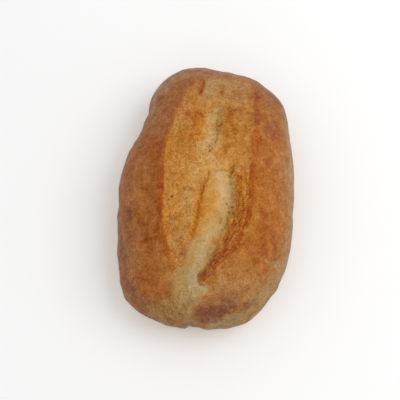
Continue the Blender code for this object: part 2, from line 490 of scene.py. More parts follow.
def roughenSurface(body):
    points = pointsOf(body)
    height = points[:, 2]
    weighPoints(body, "allOver", ease(height, 0.6, 6))
    weighPoints(body, "openedBand", ease(insideBand(points), -0.5, 2) * (height > 30))
    for k, (size, strength, where) in enumerate(surfaceLumps):
        texture = bpy.data.textures.new(f"doughLumps{k}", "CLOUDS")
        texture.noise_scale = size
        texture.noise_depth = 1
        applyModifier(body, "DISPLACE", texture=texture, strength=strength, mid_level=0.5,
                      vertex_group=where, texture_coords="LOCAL")
    body.vertex_groups.clear()


pores = scatterPores()
pressPores(body, pores)
roughenSurface(body)
body.data.shade_smooth()
print("pores and lumps done")


# painting the bake

breadTones = {  # as the eye sees them, 0 to 255
    "leftCrust": (149, 90, 46),
    "rightCrust": (173, 107, 49),
    "topCrust": (156, 108, 78),
    "rimTan": (168, 120, 74),
    "rimGrey": (145, 97, 62),
    "sideTan": (180, 138, 90),
    "footBrown": (160, 108, 64),
    "goldBand": (182, 121, 56),
    # the tone of the painted shade in pores
    "darkPore": (92, 56, 22),
    "flankShift": (-17, -4, 1),
}

bakePlan = {  # where a tone starts and the millimetres it takes to come in, then its strength
    "across": (-12, 40),
    "farEnd": (80, 26, 0.8),
    "rim": (48, 20, 0.92),
    "side": (32, 18, 0.9),
    "foot": (4, 6, 0.9),
    "goldEnd": (86, 9, 0.8),
    "flank": (0.5, 0.27),  # how much the surface faces up where it starts to turn duller
    "calmFlap": 7,  # the flap is calm from here towards the near end
    "calmFlow": 0.6,
    "openLeft": (1.25, 0.55, -8, 14),  # the crumb is more open left of the middle
    "tearStretch": 0.13,
    # painted shade in the pores: the two below set how strongly it is laid in
    "darkPores": 0.85,
    "crumbPores": 50,  # how many tones a pore a millimetre deep is darker
    "patches": ((22, 11), (8, 12), (4, 14), (2.2, 13)),  # size and seed, from broad to fine
    "wobble": 0.4,
    "mottling": ((5, (0.9, 1, 1.1)), (8, (1, 1, 0.85)), (5, (1.1, 1, 0.8))),
    "streaks": (5, (0.9, 1, 0.9)),  # how strong the long streaks of the opened dough are
}

# each stroke: its tone, its strength, its radius and fade in millimetres, and where it runs
# in plan. It is full up to half its radius, and gone where its fade ends.
crustWashes = [
    ((152, 110, 78), 0.9, 6, 8, [(-38, 94), (-40, 86)]),
    ((151, 103, 68), 0.8, 5, 7, [(-45, 72), (-46, 56)]),
    ((152, 98, 56), 0.6, 6, 8, [(-60, 14), (-64, -4), (-62, -16)]),
    ((143, 91, 56), 0.85, 4, 7, [(-70, 4), (-71, -20), (-71, -36)]),
    ((137, 88, 58), 0.85, 4, 7, [(-71, -38), (-70, -60)]),
    ((134, 88, 60), 0.9, 4, 7, [(-68, -62), (-66, -82), (-58, -96), (-48, -106)]),
    ((148, 96, 54), 0.6, 6, 7, [(-58, -60), (-60, -72)]),
    ((126, 82, 54), 0.8, 2.4, 4, [(-65, -88), (-62, -97)]),
    ((118, 82, 60), 0.8, 1.6, 2.6, [(-74.5, -50), (-74, -55)]),
    ((148, 88, 42), 0.6, 8, 8, [(-44, -62), (-44, -88)]),
    ((158, 101, 50), 0.8, 5, 6, [(-32, -70), (-32, -80), (-38, -86)]),
    ((162, 106, 64), 0.8, 6, 9, [(54, 80), (58, 66)]),
    # a grey wash on the far right rim, partly painted sheen where the rim turns away
    ((153, 114, 86), 0.85, 3, 9, [(50, 97), (56, 92), (63, 85), (69, 76)]),
    ((174, 132, 92), 0.95, 5, 8, [(71, 60), (74, 50), (76, 36), (76, 18), (76, 0), (75, -20)]),
    ((171, 130, 90), 0.95, 5, 8, [(74, -34), (71, -50), (67, -60), (66, -68)]),
    ((177, 110, 50), 0.8, 7, 8, [(50, 24), (50, 6), (50, -14), (52, -24)]),
    ((173, 116, 66), 0.7, 6, 8, [(64, 24), (65, 4), (65, -18)]),
    ((172, 117, 63), 0.85, 7, 8, [(16, -78), (26, -76), (34, -78), (24, -86)]),
    ((167, 120, 74), 0.85, 6, 8, [(30, -91), (42, -90), (48, -84)]),
    # a pale olive wash on the near right rim, partly painted sheen where the rim turns away
    ((164, 132, 90), 0.8, 3.5, 10, [(46, -98), (54, -88), (62, -76), (67, -68)]),
]

crustStrokes = [
    # the left crust from the far end to the near one
    ((156, 106, 72), 0.7, 2.4, 4, [(-28, 89), (-20, 91)]),
    ((167, 125, 90), 0.85, 3, 4, [(-28, 99), (-22, 99)]),
    ((152, 114, 82), 0.7, 2.5, 4, [(-36, 93), (-34, 88)]),
    ((140, 84, 62), 0.85, 2, 3, [(-42, 82), (-41.4, 77)]),
    ((130, 74, 36), 0.85, 2, 3, [(-43, 82), (-40, 80)]),
    ((138, 92, 46), 0.85, 2, 2.8, [(-48, 67), (-46, 64)]),
    ((156, 116, 88), 0.7, 1.8, 2.6, [(-43.6, 90), (-42, 94)]),
    ((140, 90, 54), 0.6, 1.6, 2.6, [(-38.6, 84), (-38, 79)]),
    ((153, 110, 66), 0.7, 2.5, 3, [(-46, 73), (-44, 67)]),
    ((143, 89, 58), 0.7, 2.5, 3.5, [(-38, 72), (-36, 68)]),
    ((162, 114, 72), 0.75, 2, 3, [(-27, 82), (-29, 75)]),
    ((146, 94, 62), 0.6, 3, 3, [(-28, 68), (-30, 63)]),
    ((150, 98, 66), 0.6, 3, 4, [(-38, 58), (-36, 50)]),
    ((157, 100, 60), 0.7, 2, 3, [(-44, 45), (-38, 46)]),
    ((163, 104, 62), 0.75, 1.6, 2.6, [(-34, 50), (-36, 42)]),
    ((162, 98, 58), 0.8, 2, 3, [(-43, 40), (-41, 35)]),
    ((160, 104, 66), 0.8, 1.8, 2.8, [(-46, 45), (-43, 43.6)]),
    ((150, 114, 88), 0.8, 1.4, 2.4, [(-47.4, 84), (-46.4, 80)]),
    ((150, 112, 80), 0.8, 1.6, 2.4, [(-48.6, 69), (-46.6, 66)]),
    ((160, 108, 72), 0.8, 1.2, 2, [(-58.4, 38.6)]),
    ((156, 105, 67), 0.75, 1.6, 2.5, [(-61, 32), (-57, 31), (-53, 33)]),
    ((146, 80, 38), 0.7, 4, 5, [(-48, 34), (-46, 24)]),
    ((144, 80, 40), 0.6, 2.4, 3.2, [(-52, 37), (-51, 42)]),
    ((166, 108, 70), 0.7, 1.6, 2.4, [(-45.6, 44), (-44, 41)]),
    ((144, 78, 26), 0.8, 2.2, 3, [(-35, 16), (-42, 18)]),
    ((144, 74, 42), 0.8, 2, 3, [(-38, 31), (-38.4, 26), (-38.6, 20)]),
    ((155, 96, 54), 0.6, 3, 4, [(-58, 22), (-56, 16)]),
    ((141, 86, 53), 0.85, 1.8, 2.4, [(-66, 13), (-62, 14)]),
    ((147, 85, 42), 0.7, 2.5, 3.5, [(-56, 7), (-54, 2)]),
    ((158, 94, 50), 0.7, 2.2, 3, [(-50, 0), (-48, -4)]),
    ((143, 72, 28), 0.9, 1.6, 2.4, [(-39, -1), (-39, -5), (-40, -8)]),
    ((162, 95, 46), 0.75, 1.6, 2.4, [(-40, 8), (-40.4, 4)]),
    ((142, 79, 33), 0.8, 2, 3, [(-50, -8), (-47, -9.4)]),
    ((147, 83, 37), 0.75, 3, 4, [(-54, -14), (-49, -17)]),
    ((152, 84, 30), 0.8, 1.6, 2.4, [(-38.4, -13), (-39, -20)]),
    ((125, 70, 45), 0.9, 2.6, 3, [(-66, -24), (-64, -29)]),
    ((137, 74, 38), 0.8, 2.2, 3, [(-55, -34), (-52, -37)]),
    ((138, 80, 38), 0.7, 2, 3, [(-54, -41), (-52, -45)]),
    ((148, 86, 34), 0.7, 3, 3, [(-57, -27), (-53, -29)]),
    ((142, 78, 33), 0.75, 3, 3, [(-49, -27), (-46, -32)]),
    ((147, 79, 27), 0.8, 1.5, 2.4, [(-39, -24), (-39.6, -30)]),
    ((164, 96, 38), 0.8, 0.9, 1.6, [(-36.4, 5), (-36.2, -9)]),
    ((144, 76, 30), 0.9, 3, 3.4, [(-38.4, -38), (-40, -44), (-38, -48)]),
    # a dark line along the small fold here, partly painted shade in it
    ((137, 73, 30), 0.9, 1.7, 2.4, [(-53, -54), (-47, -51), (-41, -51)]),
    ((146, 92, 56), 0.6, 3.5, 4, [(-62, -42), (-60, -50)]),
    ((134, 80, 46), 0.75, 2.4, 3.4, [(-67, -42), (-65, -48)]),
    ((140, 80, 36), 0.75, 2.2, 3, [(-51, -55), (-49, -59)]),
    ((152, 103, 64), 0.7, 1.8, 2.6, [(-46, -93.6), (-44, -96)]),
    ((118, 70, 40), 0.85, 2.2, 3, [(-73, -50), (-72, -55)]),
    ((146, 97, 52), 0.8, 3.5, 4.5, [(-59, -63), (-56, -71)]),
    ((143, 83, 38), 0.8, 1.6, 2.4, [(-52, -66), (-50, -69)]),
    ((141, 79, 37), 0.8, 1.8, 2.4, [(-48.6, -71), (-46, -75)]),
    ((142, 83, 40), 0.7, 3, 3.5, [(-56, -79), (-47, -80), (-43, -84)]),
    ((164, 106, 58), 0.75, 1.6, 2.4, [(-38, -79), (-40.4, -78)]),
    ((142, 86, 44), 0.85, 2, 2.6, [(-39, -94), (-34, -95.4), (-29, -95)]),
    ((156, 116, 74), 0.75, 1.4, 2.4, [(-36, -100), (-32, -100.6)]),
    ((148, 114, 72), 0.75, 1.6, 2.6, [(-47, -104), (-40, -104.4)]),
    ((128, 88, 54), 0.8, 2, 3, [(-54, -102), (-50, -106.6)]),
    # the right crust
    ((143, 82, 52), 0.9, 2.4, 3.4, [(44.6, 85), (47, 79)]),
    ((158, 100, 62), 0.7, 2.4, 3, [(49, 90), (51, 87)]),
    ((150, 100, 70), 0.7, 2, 3, [(60, 86), (64, 80)]),
    ((158, 98, 60), 0.7, 2.4, 3.4, [(53, 78), (55, 73)]),
    ((158, 90, 48), 0.75, 2, 3, [(43.4, 61), (44.4, 56), (43, 50)]),
    ((157, 93, 57), 0.9, 2.6, 3, [(58, 52), (62, 51)]),
    ((150, 90, 56), 0.9, 2.4, 3, [(64, 50), (65, 45)]),
    ((160, 108, 70), 0.6, 2, 3, [(69, 66), (69, 60)]),
    ((154, 89, 58), 0.85, 2.6, 3, [(55, 48), (57, 44)]),
    ((163, 97, 62), 0.8, 2.4, 3.4, [(58, 40), (61, 38)]),
    ((160, 88, 36), 0.85, 2.2, 3, [(41.6, 36), (43, 33), (47, 33)]),
    ((165, 98, 45), 0.7, 2, 3, [(54, 24), (54, 20)]),
    ((166, 92, 34), 0.75, 1.6, 2.4, [(42.6, 16), (42.4, 11)]),
    ((157, 89, 44), 0.85, 1.8, 2.6, [(52, 15.6), (56, 16.4)]),
    ((166, 97, 36), 0.75, 2, 2.8, [(47, 8), (49.6, 7)]),
    ((169, 102, 42), 0.6, 2, 2.6, [(51.4, 2), (50, 0)]),
    ((163, 92, 31), 0.75, 2, 2.8, [(42.2, -2), (42.2, -8)]),
    ((158, 94, 50), 0.7, 1.8, 2.6, [(53, 43), (52.4, 39)]),
    ((181, 112, 48), 0.6, 4, 4, [(44, -12), (44, -20)]),
    ((157, 84, 34), 0.85, 2.4, 3, [(47.4, -29), (50, -36)]),
    ((162, 91, 42), 0.8, 2, 2.8, [(48.6, -37), (46.8, -42)]),
    ((171, 102, 34), 0.85, 3, 3, [(38, -38), (43, -41)]),
    ((181, 121, 52), 0.7, 1.6, 2.4, [(40, -31), (41, -35)]),
    ((174, 112, 44), 0.8, 2.8, 3, [(35, -44), (35, -49)]),
    ((161, 89, 34), 0.85, 2, 2.8, [(47, -50), (48, -52)]),
    ((182, 112, 56), 0.7, 1, 1.6, [(46.4, -53)]),
    ((180, 113, 56), 0.75, 1.6, 2.4, [(53, -46), (53, -50)]),
    ((162, 101, 54), 0.7, 1.8, 2.6, [(61.6, -46), (62, -49)]),
    ((160, 92, 46), 0.85, 1.8, 2.6, [(57, -49), (57.6, -56), (57, -61)]),
    ((156, 88, 38), 0.9, 2.6, 3, [(43, -60), (47, -57)]),
    ((176, 114, 64), 0.75, 2, 3, [(38, -61), (40, -64)]),
    ((165, 98, 52), 0.7, 2.4, 3, [(50, -61), (54, -63)]),
    ((157, 96, 52), 0.85, 1.5, 2.2, [(54, -66), (57, -66)]),
    ((174, 118, 72), 0.8, 1.3, 2, [(47, -66), (50, -67.4), (53, -69)]),
    ((172, 124, 80), 0.75, 1.8, 2.6, [(54, -72), (56, -70)]),
    ((166, 98, 46), 0.75, 1.8, 2.6, [(40, -69), (43, -69)]),
    ((162, 94, 44), 0.8, 1.8, 2.4, [(48, -70.4), (48, -73)]),
    ((160, 92, 44), 0.75, 2.2, 3, [(48, 84), (52, 78)]),
    ((162, 96, 52), 0.6, 2, 3, [(58, 16), (62, 6)]),
    ((162, 92, 44), 0.6, 1.8, 2.8, [(54, 54), (50, 58)]),
    ((170, 100, 44), 0.7, 1.8, 2.6, [(31, -58), (35, -60)]),
    ((156, 97, 42), 0.85, 3, 3.4, [(3, -84), (8, -82.6)]),
    ((160, 97, 46), 0.75, 1.6, 2.4, [(9, -76), (14, -73)]),
    ((162, 104, 54), 0.7, 2.4, 3, [(18, -87), (22, -84)]),
    ((170, 121, 74), 0.7, 2, 3, [(12, -82), (14, -86)]),
    ((165, 112, 64), 0.75, 2.6, 3.4, [(62, -58), (65, -52)]),
    ((164, 104, 50), 0.85, 2.2, 3, [(64, -63), (65, -59)]),
    ((164, 112, 62), 0.75, 2, 3, [(67, -52), (67, -48)]),
    ((160, 118, 72), 0.8, 2.2, 3.2, [(73, -4), (73, 2)]),
    # pale grey stroke on the right rim, partly painted sheen
    ((184, 148, 108), 0.8, 1.8, 2.6, [(74, 10), (73.6, 17)]),
    ((150, 112, 86), 0.7, 2, 3, [(70, 72), (72, 62)]),
    ((164, 120, 80), 0.7, 2, 3, [(72, 55), (72, 49)]),
    ((163, 112, 66), 0.75, 2.6, 3.4, [(44, -91), (48, -88)]),
    # pale grey stroke on the right rim, partly painted sheen
    ((178, 134, 90), 0.8, 2.2, 3, [(70, 12), (69, 18)]),
    ((166, 104, 56), 0.75, 2.6, 3, [(44, -80), (48, -83)]),
    # pale stroke on the near right rim, partly painted sheen
    ((170, 136, 94), 0.85, 2.4, 3, [(59, -70), (62, -69), (66, -68)]),
]

nearEndStrokes = [
    ((158, 112, 66), 0.7, 4, 6, [(-30, -101), (-34, -104)]),
    ((164, 128, 78), 0.95, 4.4, 5, [(-21, -80), (-22, -92), (-20, -101)]),
    ((146, 111, 67), 0.85, 5, 6, [(-42, -107), (-32, -108), (-22, -110)]),
    ((149, 116, 72), 0.8, 2.4, 4, [(-29, -109.6), (-24, -109)]),
    ((154, 120, 76), 0.9, 5, 6, [(34, -106), (44, -98)]),
    ((152, 116, 74), 0.9, 3.4, 5, [(12, -116), (24, -112), (34, -108)]),
    ((165, 113, 60), 0.85, 2.4, 4, [(-26, -75), (-27, -81)]),
    ((169, 132, 82), 0.95, 3, 4.4, [(-19, -78), (-19.6, -86)]),
    ((167, 137, 90), 0.92, 4.5, 5, [(-14, -93), (-15, -100), (-15, -107)]),
    ((165, 136, 84), 0.9, 2.6, 3, [(-14, -76), (-16, -80)]),
    ((172, 148, 110), 0.95, 3, 4, [(-8, -75), (-10.6, -80), (-11, -87)]),
    ((173, 148, 104), 0.95, 2.4, 3.4, [(-12, -90), (-7, -91), (-2, -90.6)]),
    ((150, 116, 74), 0.8, 1.6, 2.6, [(-20, -102), (-15, -102)]),
    ((144, 110, 72), 0.8, 2, 3, [(-34, -114), (-22, -118)]),
    ((165, 134, 84), 0.85, 2.2, 2.6, [(-9, -96), (-4, -93.4), (0, -93)]),
    ((167, 120, 71), 0.85, 2.6, 3.4, [(6, -91), (13, -91), (20, -92.6)]),
    ((157, 114, 70), 0.7, 2, 3, [(-6, -101.6), (-4, -99.6)]),
    ((148, 98, 60), 0.85, 2.8, 3.4, [(3, -100), (8, -98), (20, -98), (25, -99)]),
    ((146, 97, 58), 0.85, 2.6, 3.2, [(-7.6, -105), (-8, -112), (-3, -116)]),
    ((124, 76, 51), 0.96, 3.6, 3.8, [(-2.6, -108.6), (2, -107), (8, -106.4), (14, -105)]),
    ((124, 79, 57), 0.92, 2.4, 3, [(1, -112.6), (5, -113), (11, -110.6), (17, -107)]),
    ((125, 77, 53), 0.9, 2.6, 3, [(-5, -110), (2, -111.4), (8, -110.6)]),
    ((136, 92, 64), 0.85, 1.8, 2.2, [(-6, -114.2), (2, -115), (9, -114)]),
    ((144, 97, 64), 0.8, 2.2, 3, [(12, -100.6), (18, -102.8), (22, -101)]),
    ((152, 118, 80), 0.8, 2, 2.6, [(-14, -111), (-13, -115)]),
    ((134, 88, 60), 0.85, 2.2, 3, [(15, -101.4), (20, -101), (23, -103)]),
    ((146, 98, 64), 0.8, 2, 3, [(24, -104), (31, -102.6), (37, -100)]),
    ((155, 112, 82), 0.7, 0.6, 1, [(15, -99.6), (17, -102), (18.6, -104)]),
    ((155, 112, 80), 0.6, 0.6, 1, [(23, -99), (26, -100.6), (27, -103.4)]),
    ((150, 110, 70), 0.7, 1.8, 2.8, [(38, -101), (42, -99)]),
    ((160, 130, 96), 0.9, 1.6, 3, [(2, -118), (10, -117.4), (19, -115.6), (28, -112.4)]),
    ((156, 126, 84), 0.85, 2, 3, [(28, -109), (36, -106)]),
    ((158, 128, 88), 0.85, 2.4, 4, [(4, -120), (14, -119), (24, -116), (33, -111)]),
    ((140, 88, 52), 0.75, 2, 2.8, [(1, -100), (6, -99.8)]),
    ((161, 113, 72), 0.8, 2, 3, [(19, -94.6), (27, -95.6)]),
    ((142, 96, 62), 0.8, 1.8, 3, [(26, -105), (33, -104)]),
    ((162, 131, 94), 0.85, 2, 2.4, [(17, -112), (22, -111.6), (28, -110)]),
    ((128, 88, 64), 0.85, 2, 2.4, [(-1, -115), (8, -115)]),
    ((166, 136, 92), 0.75, 2.4, 3, [(-8, -100), (-7, -92)]),
    ((152, 116, 70), 0.8, 2.6, 4, [(-26, -104), (-19, -107), (-24, -110)]),
    ((148, 118, 80), 0.85, 1.8, 2.6, [(-18, -115), (-9, -116.4)]),
    ((152, 98, 44), 0.85, 1.8, 2.4, [(-32, -78), (-31, -83)]),
    ((154, 92, 36), 0.9, 1.9, 2.4, [(-30, -65), (-29, -70), (-27, -74)]),
    ((178, 152, 112), 0.85, 1.6, 2.4, [(-8, -90), (-6, -91.4)]),
]

cutStrokes = [
    # the browned edges the score has left on the crust
    ((156, 98, 54), 0.7, 1.8, 2.6, [(-14, 87), (-19.2, 79), (-22.6, 70)]),
    ((162, 100, 50), 0.75, 1.3, 2.8, [(-14, 82), (-18, 74), (-21.2, 66), (-24.6, 58)]),
    ((153, 92, 42), 0.8, 1.4, 2, [(-27, 60), (-29.6, 51), (-33, 41)]),
    ((150, 82, 40), 0.85, 1.5, 2, [(-34.4, 38), (-36.4, 30), (-37, 22)]),
    ((155, 88, 34), 0.9, 1.3, 1.6, [(-35.6, 22), (-35.8, 14), (-36.4, 8)]),
    ((149, 78, 27), 0.92, 1.3, 1.8, [(-37.4, 0), (-37.2, -10), (-37, -20), (-36.8, -32),
                                     (-36.4, -42)]),
    ((158, 92, 36), 0.8, 1.5, 2.4, [(-35.4, -46), (-33.4, -54), (-31, -62), (-29, -70)]),
    ((156, 86, 46), 0.75, 1.6, 2.4, [(44, 92), (44.6, 78), (44.4, 64), (43.6, 50)]),
    ((168, 88, 36), 0.85, 1.8, 2.4, [(42.6, 42), (41.2, 36), (41, 28)]),
    ((166, 90, 36), 0.92, 1.8, 1.8, [(41.2, 26), (40.8, 18), (40, 9)]),
    ((162, 84, 30), 0.95, 2.2, 1.6, [(39.4, 6), (38.2, -2), (38, -8), (37.8, -16), (37.2, -24)]),
    ((154, 78, 24), 0.9, 1.5, 1.6, [(36, -15), (36, -25.4)]),
    ((150, 76, 26), 0.8, 0.8, 1.3, [(38.6, -3), (38.6, -11)]),
]

bandStrokes = [
    # the far end, dusted with flour
    ((176, 130, 80), 0.95, 6, 5, [(7, 92), (20, 90), (30, 90), (36, 88)]),
    ((174, 127, 78), 0.9, 7, 5, [(8, 80), (20, 78), (30, 74)]),
    ((172, 134, 86), 0.9, 2, 2.6, [(2, 93), (2, 84), (1.4, 75)]),
    ((177, 138, 88), 0.8, 1.8, 2.6, [(7, 90), (7, 80)]),
    ((184, 136, 82), 0.7, 1.8, 2.6, [(17, 75), (17, 72)]),
    ((164, 100, 47), 0.85, 1.6, 2.4, [(14, 86), (14.8, 78)]),
    ((162, 117, 74), 0.75, 1.6, 2.2, [(33, 92.4), (30, 88)]),
    ((184, 135, 88), 0.8, 1.3, 2, [(38, 93), (37, 90)]),
    ((168, 116, 66), 0.75, 2, 3, [(37, 86), (36, 78)]),
    ((164, 102, 52), 0.8, 1.6, 2.2, [(29, 82), (31, 76)]),
    ((166, 113, 62), 0.7, 1.5, 2, [(25, 80), (29, 73)]),
    ((168, 108, 54), 0.6, 2, 3, [(40, 86), (40.6, 70)]),
    ((158, 97, 48), 0.85, 0.9, 1.5, [(39, 77.4), (41.4, 77.4)]),
    ((174, 128, 74), 0.6, 1.4, 2, [(-3.4, 72), (3, 73), (9, 74)]),
    # the light arch below it
    ((190, 137, 78), 0.85, 1, 1.6, [(-1, 69), (5, 70.4), (10, 71), (15, 69.4)]),
    ((178, 131, 72), 0.7, 1.3, 2, [(2, 66.6), (9, 66.4), (16, 66.6)]),
    ((177, 122, 66), 0.8, 3, 4, [(22, 67), (32, 67)]),
    # the far left of the opened strip
    ((172, 112, 60), 0.8, 2, 3, [(-8, 90), (-13, 82), (-17, 74)]),
    ((178, 120, 64), 0.7, 3, 4, [(-15, 70), (-17, 64)]),
    ((170, 110, 58), 0.8, 2, 3, [(-21, 62), (-25, 56)]),
    ((148, 90, 50), 0.8, 2, 3, [(-13, 100), (-7, 98.6)]),
    ((178, 128, 74), 0.6, 1.8, 2.6, [(13, 88), (13, 84)]),
    ((176, 126, 66), 0.8, 1.8, 2.6, [(-24, 52), (-25, 42)]),
    ((166, 106, 48), 0.7, 1.4, 2, [(-29, 46), (-29.4, 41)]),
    ((168, 104, 52), 0.85, 2, 3, [(-15, 59), (-12, 57)]),
    ((166, 100, 44), 0.85, 1.6, 2.2, [(-9, 62), (-7, 59.4)]),
    ((163, 95, 34), 0.9, 1.7, 2.4, [(-7.4, 59), (-4.6, 56.4), (-1.6, 56)]),
    ((171, 99, 38), 0.85, 3, 3.4, [(-9.6, 55), (-8, 49), (-8.6, 43)]),
    ((172, 113, 56), 0.8, 2, 3, [(-18, 53), (-17, 44)]),
    ((185, 118, 40), 0.85, 2, 3, [(-4.4, 50), (-5.4, 41), (-6, 33)]),
    ((165, 96, 38), 0.85, 1.6, 2.2, [(-12, 38), (-13.4, 33)]),
    ((170, 106, 44), 0.8, 2, 2.6, [(-22, 39), (-21, 34)]),
    # the pale seam with its grey crumb
    ((186, 130, 66), 0.8, 1.6, 2.6, [(1.4, 63), (1.8, 57)]),
    ((189, 149, 94), 0.9, 1.5, 2.2, [(10, 61), (8, 60)]),
    ((185, 146, 84), 0.9, 2.2, 2.8, [(5, 56), (7.4, 52)]),
    ((186, 147, 88), 0.95, 2.6, 3, [(3, 52), (3.6, 46), (4.4, 40)]),
    ((199, 147, 84), 0.85, 1.7, 2.4, [(-2, 41), (-0.6, 37)]),
    ((194, 155, 98), 0.95, 2.4, 2.6, [(5, 38), (3.4, 33), (0, 29)]),
    ((167, 130, 78), 0.85, 1.5, 2.2, [(13.2, 64), (12.2, 57), (11.2, 51)]),
    ((158, 122, 72), 0.85, 1.2, 1.8, [(9.6, 51), (10.6, 48)]),
    ((164, 122, 82), 0.9, 1, 1.8, [(11, 43.6), (10.6, 40)]),
    ((176, 140, 98), 0.9, 1.2, 1.8, [(8, 36), (6.6, 31.6), (6, 28)]),
    ((188, 147, 88), 0.9, 2.2, 2.4, [(9.4, 29), (7, 24.6), (3.6, 21.8)]),
    ((194, 146, 80), 0.9, 2, 3, [(-5, 28), (-6, 22)]),
    ((198, 157, 96), 0.85, 1.8, 2.4, [(-1, 28), (-1.4, 23)]),
    ((180, 142, 84), 0.85, 2, 2.6, [(-7, 20), (-3, 16)]),
    ((196, 147, 82), 0.85, 3, 3, [(-1, 15), (1, 11), (-3, 8)]),
    ((200, 156, 100), 0.9, 2, 2.6, [(4, 17), (5, 11), (4.6, 7)]),
    ((206, 152, 84), 0.9, 1.8, 2.4, [(11, 7), (16, 8.6)]),
    ((200, 148, 84), 0.85, 2.2, 3, [(9, 13), (13, 13), (17, 12)]),
    ((204, 152, 84), 0.7, 1.2, 2, [(0.6, 7.6), (3.6, 9.6)]),
    ((176, 132, 70), 0.6, 1.6, 2.4, [(-4.4, 17), (-1, 16)]),
    # right of the seam
    ((168, 110, 50), 0.8, 1.8, 2.6, [(16, 62), (17, 58)]),
    ((154, 93, 40), 0.9, 1.2, 2, [(20.4, 63), (20.6, 60)]),
    ((160, 95, 38), 0.85, 1.1, 1.8, [(25, 61.4), (29, 61)]),
    ((162, 91, 35), 0.9, 1.9, 2.6, [(21, 57), (20.4, 53)]),
    ((175, 107, 46), 0.8, 2.4, 3, [(21, 49), (23.4, 42)]),
    ((172, 106, 36), 0.85, 2.2, 3, [(16.4, 43), (19, 37)]),
    ((180, 118, 58), 0.7, 3, 3.4, [(30, 56), (31, 48)]),
    ((168, 105, 42), 0.7, 1.4, 2, [(33, 46), (33, 42)]),
    ((172, 109, 52), 0.7, 1.8, 2.6, [(38, 60), (37.4, 52)]),
    ((188, 140, 72), 0.8, 1.8, 2.6, [(11.6, 33), (11, 28)]),
    ((172, 102, 36), 0.85, 0.8, 1.6, [(23, 28), (19, 28), (16.6, 25.4), (16, 21.4)]),
    ((192, 128, 58), 0.8, 2.2, 3, [(21, 20), (23, 15), (24, 14)]),
    ((194, 134, 64), 0.8, 1.8, 2.6, [(12, 20), (14, 16)]),
    ((172, 108, 42), 0.85, 1, 1.6, [(36.6, 25.4), (35, 24.6)]),
    ((159, 91, 31), 0.9, 0.8, 1.4, [(36.8, 17)]),
    # the broad left strip
    ((172, 110, 46), 0.8, 2.2, 3, [(-31, 36), (-31.6, 27), (-31, 18)]),
    ((184, 122, 50), 0.6, 2.4, 3, [(-12, 21), (-10, 16)]),
    ((174, 111, 46), 0.7, 2, 3, [(-26, 29), (-20, 27), (-19, 20)]),
    ((194, 145, 84), 0.85, 2.4, 3, [(-7, 11), (-9, 4), (-9.6, -2)]),
    ((195, 146, 82), 0.6, 1.6, 2.4, [(-12, 9), (-12.6, 5)]),
    ((196, 146, 80), 0.75, 1.4, 2, [(-3, 4.6), (-3.2, -1)]),
    ((204, 154, 86), 0.8, 1.4, 2, [(0.6, 4), (1, 0)]),
    ((208, 164, 104), 0.8, 1.4, 2, [(6, 6), (6.4, 3)]),
    ((194, 158, 104), 0.8, 1.4, 2, [(2, 28), (2, 24.6)]),
    ((184, 133, 74), 0.75, 1.6, 2.2, [(12.4, 42), (12, 38)]),
    ((188, 136, 74), 0.7, 1.8, 2.6, [(-19, -8), (-19.4, -12)]),
    ((170, 114, 60), 0.75, 1.6, 2.4, [(-2, 69), (-1.6, 67)]),
    ((168, 106, 50), 0.75, 1.8, 2.6, [(-11, 80), (-11, 76)]),
    ((186, 124, 62), 0.7, 1.8, 2.6, [(38.6, 49), (38.6, 45)]),
    ((184, 120, 56), 0.7, 1.8, 2.6, [(39, 38), (39, 34)]),
    ((190, 134, 66), 0.6, 1.6, 2.4, [(-31, -8.6), (-30.6, -13)]),
    ((168, 108, 42), 0.6, 2, 2.8, [(-16, 29), (-16, 24)]),
    ((172, 122, 58), 0.85, 1.8, 2.6, [(-9.4, -5), (-8.8, -10.4)]),
    ((174, 112, 42), 0.7, 1.2, 2, [(-18.6, 5), (-18.6, 1)]),
    ((185, 130, 64), 0.6, 3, 3, [(-29, -3), (-26, -8)]),
    ((186, 132, 68), 0.6, 2, 3, [(-14, 4), (-15, -4)]),
    # a dark line along the small fold here, partly painted shade in it
    ((160, 108, 56), 0.9, 0.9, 1.4, [(-18.4, -10.4), (-15, -11.4), (-11.6, -11.4)]),
    ((186, 138, 80), 0.85, 3.4, 3.6, [(-16, -16), (-13, -20), (-16, -25)]),
    ((176, 116, 46), 0.85, 1.8, 2.4, [(-24.6, -9), (-23.4, -14)]),
    ((186, 133, 70), 0.7, 1.6, 2.4, [(-21, -17), (-24, -18)]),
    ((178, 130, 68), 0.75, 3, 3.4, [(-15, -29), (-14, -36)]),
    ((184, 120, 50), 0.7, 1.4, 2, [(-34, -28), (-33, -36)]),
    ((166, 103, 43), 0.7, 1.2, 1.8, [(-33.6, -14), (-33.2, -20)]),
    ((174, 108, 46), 0.8, 1.6, 2.4, [(-33.4, -38), (-31.6, -46)]),
    ((164, 115, 64), 0.85, 1.3, 1.8, [(-27, -34), (-26.6, -45)]),
    ((167, 116, 60), 0.6, 2.6, 3.4, [(-22, -46), (-22.4, -54), (-22, -61)]),
    ((168, 111, 44), 0.8, 1.4, 2, [(-22.4, -35), (-22.6, -44)]),
    ((172, 124, 66), 0.7, 1.8, 2.6, [(-17, -40), (-17, -46)]),
    ((182, 134, 80), 0.75, 1.4, 2.2, [(-16, -49), (-15, -52)]),
    ((156, 108, 57), 0.85, 1.5, 2, [(-20.4, -50), (-20.4, -52)]),
    ((160, 110, 58), 0.7, 1.4, 2, [(-26, -48), (-25.6, -52)]),
    ((175, 128, 74), 0.8, 1.8, 2.4, [(-28, -54), (-27, -58)]),
    ((160, 102, 47), 0.8, 1.6, 2.4, [(-26.4, -62), (-26, -66)]),
    ((154, 101, 56), 0.9, 2, 2.8, [(-18.4, -58), (-18, -64)]),
    ((158, 110, 58), 0.85, 1.8, 2.4, [(-20.6, -67), (-20, -70)]),
    ((178, 127, 70), 0.8, 1.4, 2, [(-13.6, -56), (-14, -61)]),
    ((166, 120, 68), 0.85, 2.4, 3.4, [(-22, -75), (-16, -71)]),
]

